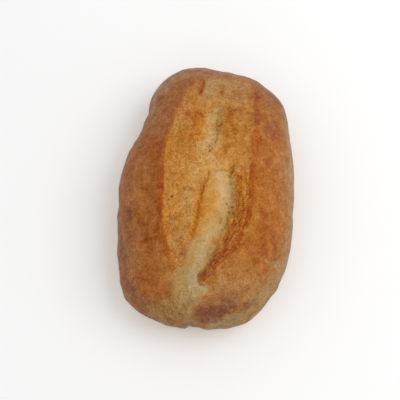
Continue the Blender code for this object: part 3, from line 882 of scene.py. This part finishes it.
flapStrokes = [
    ((199, 143, 74), 0.98, 5, 3, [(7, 0), (5, -8), (4, -18), (2, -30), (0, -38), (-3, -44)]),
    ((200, 154, 96), 0.95, 2.6, 3, [(9, 2), (9.6, -6), (10, -13)]),
    ((200, 152, 92), 0.9, 2.4, 3, [(11, -20), (11, -28)]),
    ((204, 163, 112), 0.95, 3, 3, [(12.6, 1), (14, -5), (14.4, -13), (14.4, -19)]),
    ((200, 160, 106), 0.9, 1.6, 2, [(13, 3.2), (16.6, 2.4), (18, -2)]),
    ((196, 164, 118), 0.85, 1.8, 2, [(17, -4), (17.6, -9)]),
    ((194, 133, 60), 0.85, 2.4, 3, [(1, -15), (4, -19), (2, -22)]),
    ((196, 134, 62), 0.8, 1.8, 2.4, [(1, -28), (-1, -32)]),
    ((206, 160, 98), 0.85, 1.8, 2.4, [(9, -24.6), (12, -26.4)]),
    ((192, 158, 104), 0.9, 2.6, 3, [(15, -22), (16, -27)]),
    ((196, 148, 82), 0.85, 2.2, 3, [(3, -33), (7, -35)]),
    ((184, 152, 104), 0.9, 2.6, 2.6, [(12.6, -31), (13, -36), (12, -41)]),
    ((186, 150, 94), 0.85, 1.4, 1.8, [(15.6, -29), (16.4, -33), (15, -36)]),
    ((206, 150, 80), 0.7, 1.8, 2.4, [(3, -11), (1.6, -16)]),
    ((184, 144, 92), 0.85, 1.6, 2, [(10.4, -45), (9.4, -50)]),
    ((188, 146, 86), 0.7, 1.2, 1.8, [(14.6, 2), (16.6, 0)]),
    ((191, 148, 84), 0.85, 2, 2.6, [(0, -42), (2, -46)]),
    ((191, 155, 102), 0.95, 3.6, 3, [(7, -42), (5, -48), (9, -46)]),
    ((188, 154, 106), 0.97, 4.4, 3, [(1, -51), (-1.6, -57), (-4.4, -63)]),
    ((184, 148, 96), 0.9, 2.6, 3, [(-7, -53), (-10, -58), (-11, -63)]),
    ((184, 155, 110), 0.97, 3.8, 3.2, [(-3.6, -61), (-4.4, -68), (-7.4, -73)]),
    ((177, 140, 86), 0.85, 2, 2.6, [(-13, -64), (-13, -70)]),
    ((180, 144, 90), 0.9, 2, 2.2, [(3, -57), (5.6, -57.6), (3, -61.6)]),
    # its crumbling grey edge
    ((187, 157, 110), 0.85, 1.7, 1.8, [(18.6, -8), (19, -17), (18.4, -23)]),
    ((178, 128, 66), 0.85, 1.5, 1.8, [(21.6, 2), (22, -1)]),
    ((176, 138, 82), 0.85, 1.5, 1.8, [(20.4, -2), (21.4, -6)]),
    ((165, 131, 80), 0.9, 1.1, 1.3, [(21.2, -6), (21.8, -12), (22, -18)]),
    ((171, 135, 87), 0.85, 1.1, 1.4, [(21, -19), (20.8, -24)]),
    ((168, 127, 73), 0.85, 1.4, 1.8, [(21, -27), (19, -34)]),
    ((162, 122, 68), 0.9, 0.9, 1.3, [(12.2, -36), (11.6, -39.4)]),
    ((156, 114, 56), 0.9, 0.8, 1.2, [(17.6, -35), (17, -39.4)]),
    ((172, 128, 70), 0.85, 1.2, 1.6, [(14.8, -44), (12.4, -49.6)]),
    ((175, 131, 68), 0.9, 1.3, 1.6, [(6, -52), (8.8, -53.4)]),
    ((164, 114, 56), 0.85, 0.9, 1.3, [(10.8, -55), (9.4, -58.6), (7, -62.4), (4.2, -67)]),
    ((196, 142, 88), 0.85, 0.4, 0.7, [(11.2, -54.2)]),
    ((188, 148, 96), 0.8, 1.3, 2, [(15, -39), (14.4, -44), (12.8, -48)]),
    ((182, 130, 72), 0.75, 1.2, 1.8, [(21, -29), (20.6, -33)]),
    ((166, 135, 88), 0.8, 1.4, 2, [(-6.4, -73), (-8, -76)]),
]

# dark lines in the flap's crease, the cracks, the folds and the seam's pores: partly the crust's
# own deeper bake, partly painted shade in these hollows, with a few pale strokes beside them
creaseBakeAndShadeStrokes = [
    ((182, 114, 36), 0.7, 1.4, 2, [(-2.6, -28), (-3.4, -33)]),
    ((181, 112, 38), 0.85, 1.6, 2.2, [(-4.6, -18), (-6, -26), (-7.6, -34), (-9.4, -42),
                                      (-11.6, -49)]),
    ((170, 98, 14), 0.92, 0.5, 0.8, [(2, 4.6), (1.7, 1), (0.9, -3)]),
    ((164, 90, 6), 0.95, 0.6, 0.9, [(0.8, -3.4), (-1.2, -5.4), (-2.3, -7.6)]),
    ((166, 92, 8), 0.92, 0.7, 1.1, [(-2.3, -8.6), (-2.7, -11.4), (-3.9, -14.8), (-4.7, -19.4)]),
    ((168, 96, 18), 0.85, 0.8, 1.5, [(-4.7, -19.4), (-5.9, -25.4), (-7.2, -33.4)]),
    ((170, 102, 28), 0.75, 0.9, 1.8, [(-7.8, -35.4), (-9.4, -41.4), (-11.8, -48.4)]),
    ((206, 148, 80), 0.8, 0.5, 0.9, [(-4, -24), (-1, -24.8), (1.6, -24.6)]),
    ((182, 118, 50), 0.7, 0.4, 0.8, [(-3, -25.6), (1, -25.8)]),
    ((168, 124, 64), 0.9, 0.5, 0.8, [(6.6, 4.4), (11, 4.9), (15, 5)]),
    ((150, 90, 24), 0.95, 0.8, 1, [(21, 3), (22.4, 4.8), (23, 6.8)]),
    ((160, 102, 36), 0.75, 0.5, 0.9, [(22, 8), (24, 10), (26.6, 13)]),
    ((160, 104, 38), 0.85, 0.6, 0.9, [(19.4, 6), (21.6, 7.8)]),
    ((160, 112, 50), 0.85, 0.8, 1.2, [(19, 1.2), (19.8, 0)]),
    ((196, 142, 82), 0.8, 0.8, 1.2, [(24.8, 7.4), (26.6, 5)]),
    ((158, 92, 46), 0.85, 2, 2, [(-2.6, 92), (-4, 84), (-6, 78)]),
    ((140, 79, 40), 0.95, 0.8, 1.2, [(-1.4, 93), (-2.4, 89)]),
    ((150, 84, 38), 0.88, 1.1, 1.5, [(-2.8, 87), (-3.8, 83), (-4.8, 79.6)]),
    ((132, 92, 42), 0.92, 0.5, 0.8, [(9.6, 47.4), (11.6, 45.6), (13.6, 47.6)]),
    ((150, 112, 60), 0.9, 0.6, 0.9, [(10.4, 51.6), (9.8, 48.4)]),
    ((150, 112, 66), 0.85, 0.4, 0.8, [(9.2, 37.4), (9.2, 33.6), (8, 30.4)]),
    ((146, 108, 56), 0.85, 0.35, 0.6, [(2.6, 27), (5, 25)]),
    ((140, 98, 46), 0.85, 0.35, 0.6, [(2.4, 24.4), (4.4, 22.4)]),
]

tornStrokes = [
    ((178, 110, 41), 0.92, 2.4, 2.2, [(26.6, 3), (27.6, -6), (28, -16), (28, -26)]),
    ((169, 93, 29), 0.9, 1.3, 1.8, [(28, -1), (28.2, -6), (28, -14), (27.4, -20)]),
    ((183, 118, 44), 0.92, 1.7, 1.8, [(32, 0), (32.6, -5), (32, -10)]),
    ((177, 104, 34), 0.9, 1.3, 1.6, [(31.2, -11), (31.6, -17)]),
    ((174, 118, 58), 0.85, 1, 1.5, [(24.2, -2), (24.2, -12), (24, -22)]),
    ((150, 82, 24), 0.95, 0.5, 0.8, [(26.6, 1.4), (27.4, -0.8)]),
    ((154, 80, 22), 0.55, 0.7, 1, [(27.4, -12), (27, -17)]),
    ((156, 82, 24), 0.55, 0.5, 0.8, [(26.6, -20), (27, -24)]),
    ((160, 88, 26), 0.8, 0.6, 0.9, [(29.4, -1.6), (29.8, -3.4)]),
    ((196, 122, 48), 0.85, 0.5, 0.9, [(28.4, -4.4), (28.8, -8)]),
    ((198, 130, 62), 0.85, 0.5, 0.9, [(32.2, -12.6), (31.2, -15.4)]),
    ((172, 98, 36), 0.85, 0.8, 1.2, [(34.6, -6), (34.6, -12), (34.4, -20)]),
    ((178, 108, 38), 0.8, 0.9, 1.3, [(33.4, -15.6), (33.6, -24)]),
    ((186, 118, 46), 0.75, 1.4, 2, [(29.4, -19), (30, -24), (29, -30)]),
    ((155, 80, 24), 0.9, 1.8, 2.2, [(37.8, -19), (38.4, -25)]),
    ((180, 108, 38), 0.6, 1.4, 2, [(36.2, -2), (35.6, -8)]),
    ((182, 110, 38), 0.6, 1.4, 2, [(28, -4.6), (27.6, -9.6)]),
    ((176, 110, 42), 0.8, 1.6, 2.2, [(39, -27), (39.6, -31)]),
    ((152, 78, 20), 0.8, 1.1, 1.6, [(35, -33), (34.4, -38)]),
    # where it turns towards the near end
    ((173, 107, 44), 0.92, 2.2, 2.2, [(25, -27), (23.6, -33), (21.4, -39), (18.8, -45),
                                      (16.4, -50)]),
    ((180, 126, 64), 0.85, 1.2, 1.8, [(21.4, -30), (20.6, -34)]),
    ((169, 98, 36), 0.92, 2.6, 2.4, [(28, -29), (26.6, -36), (23.6, -42), (20.4, -48)]),
    ((152, 76, 22), 0.95, 2.1, 1.8, [(34, -27), (34, -32), (32.4, -38), (30, -43), (28, -48)]),
    ((153, 78, 30), 0.95, 2.2, 2, [(28, -47), (26.4, -52), (22.8, -57.8)]),
    ((159, 87, 37), 0.95, 2.8, 2.2, [(18, -52.6), (16.4, -56.6), (21, -56)]),
    ((155, 81, 36), 0.95, 2.6, 2.2, [(17.4, -60), (12.6, -65), (8, -69.8), (4.6, -73.6)]),
    ((157, 86, 39), 0.92, 1.8, 1.8, [(20, -61.6), (15.4, -66.4), (11, -71), (7, -75.4)]),
    ((184, 106, 48), 0.8, 0.5, 1, [(31.6, -26), (30.6, -31)]),
    ((184, 112, 58), 0.8, 0.6, 1, [(26.8, -35), (25.6, -39.4), (23.6, -43)]),
    ((148, 76, 24), 0.7, 0.6, 0.9, [(24, -35.4), (23, -38)]),
    ((152, 82, 28), 0.85, 1.1, 1.3, [(22.4, -39.6), (20.8, -43)]),
    ((166, 90, 32), 0.7, 1.6, 2, [(30, -30), (29, -38), (26, -45)]),
    ((170, 94, 42), 0.75, 0.9, 1.2, [(24.6, -44.6), (22.6, -49), (20.4, -53.4)]),
    ((146, 72, 25), 0.85, 0.7, 1.1, [(26, -48), (25, -52)]),
    ((146, 73, 26), 0.9, 0.7, 1.1, [(16, -60), (13.4, -63), (11, -66), (8.2, -69.4)]),
    ((176, 104, 58), 0.85, 0.6, 1, [(14, -58.8), (10.4, -62.4), (7, -65.8)]),
    ((172, 98, 52), 0.75, 0.5, 0.9, [(18.4, -61.4), (15, -65)]),
    ((174, 134, 86), 0.85, 1.2, 1.6, [(3.4, -63), (1.8, -67), (0.8, -70)]),
    # the darkest strokes from here to the tear's near tip are partly painted shade in its deepening
    # groove
    ((146, 76, 36), 0.92, 2.2, 1.8, [(5.4, -70), (2.8, -73.4), (0, -76.6)]),
    ((153, 88, 46), 0.85, 1.7, 2, [(2.6, -79), (6, -76.8)]),
    ((180, 114, 62), 0.85, 1.3, 1.6, [(9.4, -62), (7.6, -66)]),
    ((138, 75, 38), 0.9, 1.2, 1.5, [(2, -76.4), (-0.6, -78)]),
    ((145, 72, 36), 0.97, 2.2, 1.6, [(-4, -79.6), (-1, -79.8), (-2.6, -83)]),
    ((136, 94, 54), 0.85, 0.6, 1, [(-6.2, -80), (-6, -83.6), (-4.8, -86.4)]),
    # a soft brown painted shadow where the flap's edge meets the torn strip
    ((150, 110, 70), 0.85, 0.8, 1.3, [(1.4, -71), (-1.2, -74.8), (-5.2, -77.2)]),
    ((142, 98, 54), 0.8, 0.7, 1.1, [(-4.2, -86.6), (-2.4, -87.4)]),
    ((144, 82, 40), 0.9, 1.6, 2, [(1.6, -80.4), (5, -79.4)]),
]

# painted shade in small pores, laid where the dough is pressed in
poreShadeSpots = [  # small dark pores: place, radius and how dark
    ((-28.4, -16.6), 1.0, 1), ((-31.0, -18.7), 0.8, 0.8), ((33.4, -11.6), 0.6, 0.8),
    ((33.6, -14.4), 0.9, 0.9), ((16.7, -23.4), 1.0, 0.8), ((22.2, -30.2), 1.1, 0.9),
    ((22.4, -21.4), 0.8, 0.6), ((18.8, -30.2), 0.8, 0.6), ((21.4, -25.4), 0.8, 0.6),
    ((18.6, -26.8), 0.7, 0.6), ((23.6, -36.4), 0.8, 0.6), ((-20.8, -50.6), 0.8, 0.5),
    ((21.8, 4.4), 1.2, 0.7), ((13.6, 47.4), 0.8, 0.8), ((9.6, 49.6), 0.7, 0.5),
    ((11.2, 45.2), 0.9, 0.8), ((9.4, 46.6), 0.6, 0.6), ((3.2, 22.2), 0.9, 0.7),
    ((5.2, 24.2), 0.7, 0.5), ((2.6, 26), 0.7, 0.5), ((-5.0, 16.6), 0.9, 0.6),
    ((-4, 19.6), 0.5, 0.4), ((-10.4, 83.4), 0.7, 0.6), ((14.4, 80.6), 1.2, 0.7),
    ((-6.6, 59), 0.7, 0.7), ((6, 14), 0.6, 0.3), ((-18, 76), 0.5, 0.4), ((-29, 36.4), 0.5, 0.4),
    ((20.4, 62.6), 0.6, 0.5), ((4.6, 58.4), 0.7, 0.3), ((36.8, 17), 0.7, 0.5),
    ((18.4, 37.4), 0.8, 0.4), ((-8, 75.4), 0.6, 0.5), ((24.6, 10), 0.9, 0.4),
]

brushFeel = {
    "heightShare": 0.7,  # a stroke reaches this much further down the sides
    "full": 0.5,  # the share of the radius that is at full strength
    "mostWobble": 4,  # only this much of a fade is uneven, in millimetres
    "spare": 3,
}


def layOn(points, places):
    # the places' heights on the loaf, so that a stroke fades down its sides as it does along them
    laid = []
    for x, y in places:
        gap = np.hypot(points[:, 0] - x, points[:, 1] - y)
        laid.append((x, y, points[gap < gap.min() + 1.2, 2].max()))
    return laid


def brush(tones, points, upper, wobble, strokes, rough=0.5):
    points = points * (1, 1, brushFeel["heightShare"])
    for tone, strength, radius, fade, places in strokes:
        line = smoothLine(layOn(points, places))
        reach = radius + fade + brushFeel["spare"]
        low, high = line.min(0) - reach, line.max(0) + reach
        near = np.flatnonzero((points > low).all(1) & (points < high).all(1) & (upper > 0))
        gap, _, _ = measureTo(line, points[near])
        gap = gap + wobble[near] * min(fade, brushFeel["mostWobble"]) * rough
        full = radius * brushFeel["full"]
        weight = strength * upper[near] * (1 - ease(gap, full, radius + fade - full))
        tones[near] += (np.array(tone) - tones[near]) * weight[:, None]


def glaze(tones, tone, weight):
    tones += (np.array(tone) - tones) * weight[:, None]


def mixTones(first, second, share):
    share = share[:, None]
    return np.array(breadTones[first]) * (1 - share) + np.array(breadTones[second]) * share


studioLight = {  # how brightly the loaf is lit, and how that changes for each millimetre
    "middle": 0.985,
    "across": 0.0017,
    "along": 0.0003,
    "limits": (0.84, 1.1),
    "glare": 0.010,
    "darkest": 0.002,
}


def takeOffLight(tones, points):
    # what the studio light adds and takes is taken off again, and the tones are made linear
    shown = np.clip(tones, 0, 255) / 255
    linear = np.where(shown <= 0.04045, shown / 12.92, ((shown + 0.055) / 1.055) ** 2.4)
    light = (studioLight["middle"] + studioLight["across"] * points[:, 0]
             + studioLight["along"] * points[:, 1])
    light = np.clip(light, *studioLight["limits"])
    return np.maximum(linear - studioLight["glare"], studioLight["darkest"]) / light[:, None]


def keepOnPoints(body, kind, values):
    for name, numbers in values.items():
        layer = body.data.attributes.new(name, kind, "POINT")
        layer.data.foreach_set("value" if kind == "FLOAT" else "vector", numbers.ravel())


def paintLoaf(body, spots):
    points, normals = pointsOf(body), normalsOf(body)
    x, y, z = points.T
    upper = ease(z, 12, 12) * ease(normals[:, 2], -0.5, 0.4)
    coarse, mid, small, fine = (unevenness(points, size, seed)
                                for size, seed in bakePlan["patches"])
    wobble = bakePlan["wobble"] * (mid + small + fine)

    # bare crust: browner on the left, paler at the rim and the sides
    across = ease(x + 6 * coarse, *bakePlan["across"])
    tones = mixTones("leftCrust", "rightCrust", across)
    start, over, strength = bakePlan["farEnd"]
    glaze(tones, breadTones["topCrust"], strength * ease(y + 5 * coarse, start, over))
    start, over, strength = bakePlan["rim"]
    rim = ease(start + 4 * mid + 3 * coarse - z, 0, over)
    glaze(tones, mixTones("rimGrey", "rimTan", across), strength * rim)
    brush(tones, points, upper, wobble, crustWashes)
    start, over, strength = bakePlan["side"]
    border = start + 3 * ease(x, -20, 80) + 6 * coarse + 3 * mid
    glaze(tones, breadTones["sideTan"], strength * ease(border - z, 0, over))
    start, over, strength = bakePlan["foot"]
    foot = ease(start + 2 * coarse + 2 * mid - z, 0, over)
    glaze(tones, breadTones["footBrown"], strength * foot)
    brush(tones, points, upper, wobble, crustStrokes)

    opened = ease(insideBand(points) + 0.9 * wobble, -0.4, 1.4) * upper
    start, over, strength = bakePlan["goldEnd"]
    floured = strength * ease(y + 2 * wobble, start, over)
    glaze(tones, breadTones["goldBand"], opened * (1 - floured))
    brush(tones, points, upper, wobble, cutStrokes)
    brush(tones, points, upper, wobble, bandStrokes, 0.35)
    brush(tones, points, upper * ease(z, 8, 12), wobble, nearEndStrokes, 0.2)
    brush(tones, points, upper, wobble, tornStrokes, 0.7)
    brush(tones, points, upper, wobble, flapStrokes + creaseBakeAndShadeStrokes, 0.3)
    # painted shade in the pores
    for place, radius, strength in poreShadeSpots:
        gap = np.linalg.norm(points[:, :2] - overCrown(place), axis=1)
        weight = bakePlan["darkPores"] * strength * (1 - ease(gap, radius * 0.3, radius))
        glaze(tones, breadTones["darkPore"], weight * upper)

    # painted shade inside the pressed crumb pores, darker the deeper each pore
    for place, radius, depth in spots[len(poreSpots):]:
        near, share = dentAt(points, upper > 0.5, place, radius, 2)
        darker = depth * bakePlan["crumbPores"] * share
        tones[near] -= darker[:, None] * np.array([1, 0.95, 0.7])

    # the flap and the dough that flowed out below it are calm, the torn strip is all strands
    _, creaseSide, _ = measureTo(lines["flapCrease"], points)
    _, flapSide, _ = measureTo(lines["flapEdge"], points)
    onFlap = (creaseSide > 0) * (flapSide < 0) * ease(bakePlan["calmFlap"] - y, 0, 3) * upper
    flow, _, _ = measureTo(lines["nearFlow"], points)
    calm = np.maximum(onFlap, bakePlan["calmFlow"] * (1 - ease(flow, 6, 6)) * upper)
    torn, right, run = insideTorn(points, 8, 12, -0.8, 1.6)
    torn = torn * upper

    # mottling that no stroke names
    bare = (1 - 0.7 * opened) * (1 - 0.7 * calm)
    for patch, (strength, share) in zip((coarse, mid, small), bakePlan["mottling"]):
        tones += (patch * strength * bare)[:, None] * np.array(share)
    strength, share = bakePlan["streaks"]
    streaks = unevenness(points * (1, 0.3, 0.5), 2.6, 15) * opened * (1 - 0.8 * calm)
    tones += (streaks * strength)[:, None] * np.array(share)

    # the steep flank high on the loaf is painted duller and less red
    start, over = bakePlan["flank"]
    flank = ease(start + 0.08 * mid - normals[:, 2], 0, over) * ease(z, 25, 10)
    tones += flank[:, None] * breadTones["flankShift"]

    colours = np.ones((len(points), 4))
    colours[:, :3] = takeOffLight(tones, points)
    layer = body.data.color_attributes.new("bakeTone", "FLOAT_COLOR", "POINT")
    layer.data.foreach_set("color", colours.ravel())
    most, less, start, over = bakePlan["openLeft"]
    keepOnPoints(body, "FLOAT", {
        "openCrumb": opened * (1 - 0.8 * calm) * (most - less * ease(x, start, over)),
        "tornDough": torn,
        "grain": (1 - 0.3 * calm) * (1 + 0.2 * torn),
    })
    keepOnPoints(body, "FLOAT_VECTOR", {
        "tearRun": np.stack([right, run * bakePlan["tearStretch"], z * 0.3], 1) / 1000,
    })


paintLoaf(body, pores)
print("bake painted")


# the crust's material

crustFinish = {
    "roughness": (0.58, 0.76),  # the dullness varies between these, in patches
    "dullSize": 160,
    "specular": 0.15,
    "sheen": 0.2,
    "sheenRoughness": 0.3,
    "sheenTint": (0.6, 0.85, 1, 1),
    "patterns": [  # how many to the metre, and how far each shifts the tone
        (150, 0.045),
        (420, 0.055),
        (950, 0.095),
    ],
    "fleckSize": 760,
    "fleckTone": 0.06,
    "pitSize": 560,
    "pitShade": 0.07,
    "strandSize": 760,
    "strandTone": 0.08,
    "darkest": (0.03, 0.03, 0.03),
    "eyeGamma": 2.2,
    "bumpStrength": 0.7,
    "bumpHeight": 0.0004,
}


def crustMaterial():
    material = bpy.data.materials.new("bakedCrust")
    material.use_nodes = True
    nodes, links = material.node_tree.nodes, material.node_tree.links
    shader = nodes["Principled BSDF"]
    shader.inputs["Specular IOR Level"].default_value = crustFinish["specular"]
    shader.inputs["Sheen Weight"].default_value = crustFinish["sheen"]
    shader.inputs["Sheen Roughness"].default_value = crustFinish["sheenRoughness"]
    shader.inputs["Sheen Tint"].default_value = crustFinish["sheenTint"]

    def add(kind, x, y, **settings):
        node = nodes.new(kind)
        node.location = (x, y)
        for name, value in settings.items():
            if name in node.inputs:
                node.inputs[name].default_value = value
            else:
                setattr(node, name, value)
        return node

    def noiseOn(source, size, detail, x, y):
        pattern = add("ShaderNodeTexNoise", x, y, Scale=size, Detail=detail, Roughness=0.6)
        links.new(source, pattern.inputs["Vector"])
        return pattern.outputs["Fac"]

    def spread(source, fromRange, toRange, x, y):
        node = add("ShaderNodeMapRange", x, y)
        for name, value in zip(("From Min", "From Max", "To Min", "To Max"), fromRange + toRange):
            node.inputs[name].default_value = value
        links.new(source, node.inputs["Value"])
        return node.outputs["Result"]

    def combine(kind, first, second, x, y):
        node = add("ShaderNodeMath", x, y, operation=kind)
        links.new(first, node.inputs[0])
        links.new(second, node.inputs[1])
        return node.outputs["Value"]

    def kept(name, y):
        return add("ShaderNodeAttribute", -1700, y, attribute_name=name).outputs

    place = add("ShaderNodeTexCoord", -1700, 0).outputs["Object"]
    tone = add("ShaderNodeVertexColor", -1700, 400, layer_name="bakeTone").outputs["Color"]

    # blotches, speckle and grain, from broad to fine
    shift = None
    for k, (size, amount) in enumerate(crustFinish["patterns"]):
        y = 300 - 250 * k
        pattern = spread(noiseOn(place, size, 2, -1450, y), (0.2, 0.8), (-amount, amount), -1200, y)
        shift = pattern if shift is None else combine("ADD", shift, pattern, -950, y)

    # pale flecks everywhere, and painted shade in small pits where the dough has opened
    flecks = noiseOn(place, crustFinish["fleckSize"], 1, -1450, -500)
    flecks = spread(flecks, (0.64, 0.78), (0, crustFinish["fleckTone"]), -1200, -500)
    shift = combine("ADD", shift, flecks, -750, 0)
    pits = add("ShaderNodeTexVoronoi", -1450, -750, feature="F1", Scale=crustFinish["pitSize"])
    links.new(place, pits.inputs["Vector"])
    pits = spread(pits.outputs["Distance"], (0.1, 0.42), (-crustFinish["pitShade"], 0.02),
                  -1200, -750)
    pits = combine("MULTIPLY", pits, kept("openCrumb", -500)["Fac"], -950, -750)
    shift = combine("ADD", shift, pits, -550, 0)

    # long strands in the torn dough
    amount = crustFinish["strandTone"]
    strands = noiseOn(kept("tearRun", -1250)["Vector"], crustFinish["strandSize"], 2, -1450, -1250)
    strands = spread(strands, (0.2, 0.8), (-amount, amount), -1200, -1250)
    strands = combine("MULTIPLY", strands, kept("tornDough", -1500)["Fac"], -950, -1250)
    shift = combine("ADD", shift, strands, -450, -100)
    shift = combine("MULTIPLY", shift, kept("grain", -1750)["Fac"], -400, -200)

    # the shift is added to the tone as the eye sees it
    eye = add("ShaderNodeGamma", -550, 400, Gamma=1 / crustFinish["eyeGamma"])
    links.new(tone, eye.inputs["Color"])
    shifted = add("ShaderNodeVectorMath", -350, 300, operation="ADD")
    links.new(eye.outputs["Color"], shifted.inputs[0])
    links.new(shift, shifted.inputs[1])
    floored = add("ShaderNodeVectorMath", -150, 300, operation="MAXIMUM")
    links.new(shifted.outputs["Vector"], floored.inputs[0])
    floored.inputs[1].default_value = crustFinish["darkest"]
    back = add("ShaderNodeGamma", 50, 300, Gamma=crustFinish["eyeGamma"])
    links.new(floored.outputs["Vector"], back.inputs["Color"])
    links.new(back.outputs["Color"], shader.inputs["Base Color"])

    dull = noiseOn(place, crustFinish["dullSize"], 2, -1450, -1000)
    dull = spread(dull, (0.3, 0.7), crustFinish["roughness"], -1200, -1000)
    links.new(dull, shader.inputs["Roughness"])
    bump = add("ShaderNodeBump", 50, -300, Strength=crustFinish["bumpStrength"],
               Distance=crustFinish["bumpHeight"])
    links.new(shift, bump.inputs["Height"])
    links.new(bump.outputs["Normal"], shader.inputs["Normal"])
    shader.location = (300, 200)
    nodes["Material Output"].location = (600, 200)
    return material


body.data.materials.append(crustMaterial())
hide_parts("loaf")
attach(body, "root")
print("crust finished")


# floor, light and camera

studio = {
    "floorSize": 6,
    "floorGap": 0.0002,  # under the loaf, so that the two faces don't flicker
    "floorTone": (0.98, 0.98, 0.98, 1),
    "floorRoughness": 0.9,
    "fill": 0.80,
    "keyPower": 5.0,
    "keySize": 0.9,
    "keyPlace": (0.75, 0.15, 1.05),
    "aim": (-0.005, -0.0081, 0.035),
    "viewDistance": 0.589,
    "viewAngle": 75,  # degrees above the table
    "lens": 60,
    "sensorWidth": 36,
}


def layTable():
    deselectAll()
    height = loafLow.z - studio["floorGap"]
    bpy.ops.mesh.primitive_plane_add(size=studio["floorSize"], location=(0, 0, height))
    table = bpy.context.active_object
    table.name = "paleTable"
    paint = bpy.data.materials.new("palePaint")
    paint.use_nodes = True
    shader = paint.node_tree.nodes["Principled BSDF"]
    shader.inputs["Base Color"].default_value = studio["floorTone"]
    shader.inputs["Roughness"].default_value = studio["floorRoughness"]
    table.data.materials.append(paint)


def hangLights():
    world = bpy.data.worlds.new("softRoom")
    world.use_nodes = True
    background = world.node_tree.nodes["Background"]
    background.inputs["Color"].default_value = (1, 1, 1, 1)
    background.inputs["Strength"].default_value = studio["fill"]
    bpy.context.scene.world = world
    spot = loafMiddle + Vector(studio["keyPlace"])
    bpy.ops.object.light_add(type="AREA", location=spot)
    key = bpy.context.active_object
    key.name = "keyLight"
    key.data.energy = studio["keyPower"]
    key.data.size = studio["keySize"]
    key.rotation_euler = (loafMiddle - spot).to_track_quat("-Z", "Y").to_euler()


def setCamera():
    tilt = math.radians(studio["viewAngle"])
    back = Vector((0, -math.cos(tilt), math.sin(tilt)))
    bpy.ops.object.camera_add(location=Vector(studio["aim"]) + back * studio["viewDistance"],
                              rotation=(math.pi / 2 - tilt, 0, 0))
    camera = bpy.context.active_object
    camera.name = "mainCamera"
    camera.data.lens = studio["lens"]
    camera.data.sensor_width = studio["sensorWidth"]
    bpy.context.scene.camera = camera


layTable()
hangLights()
setCamera()
bpy.context.scene.view_settings.view_transform = "Standard"
print("studio set")
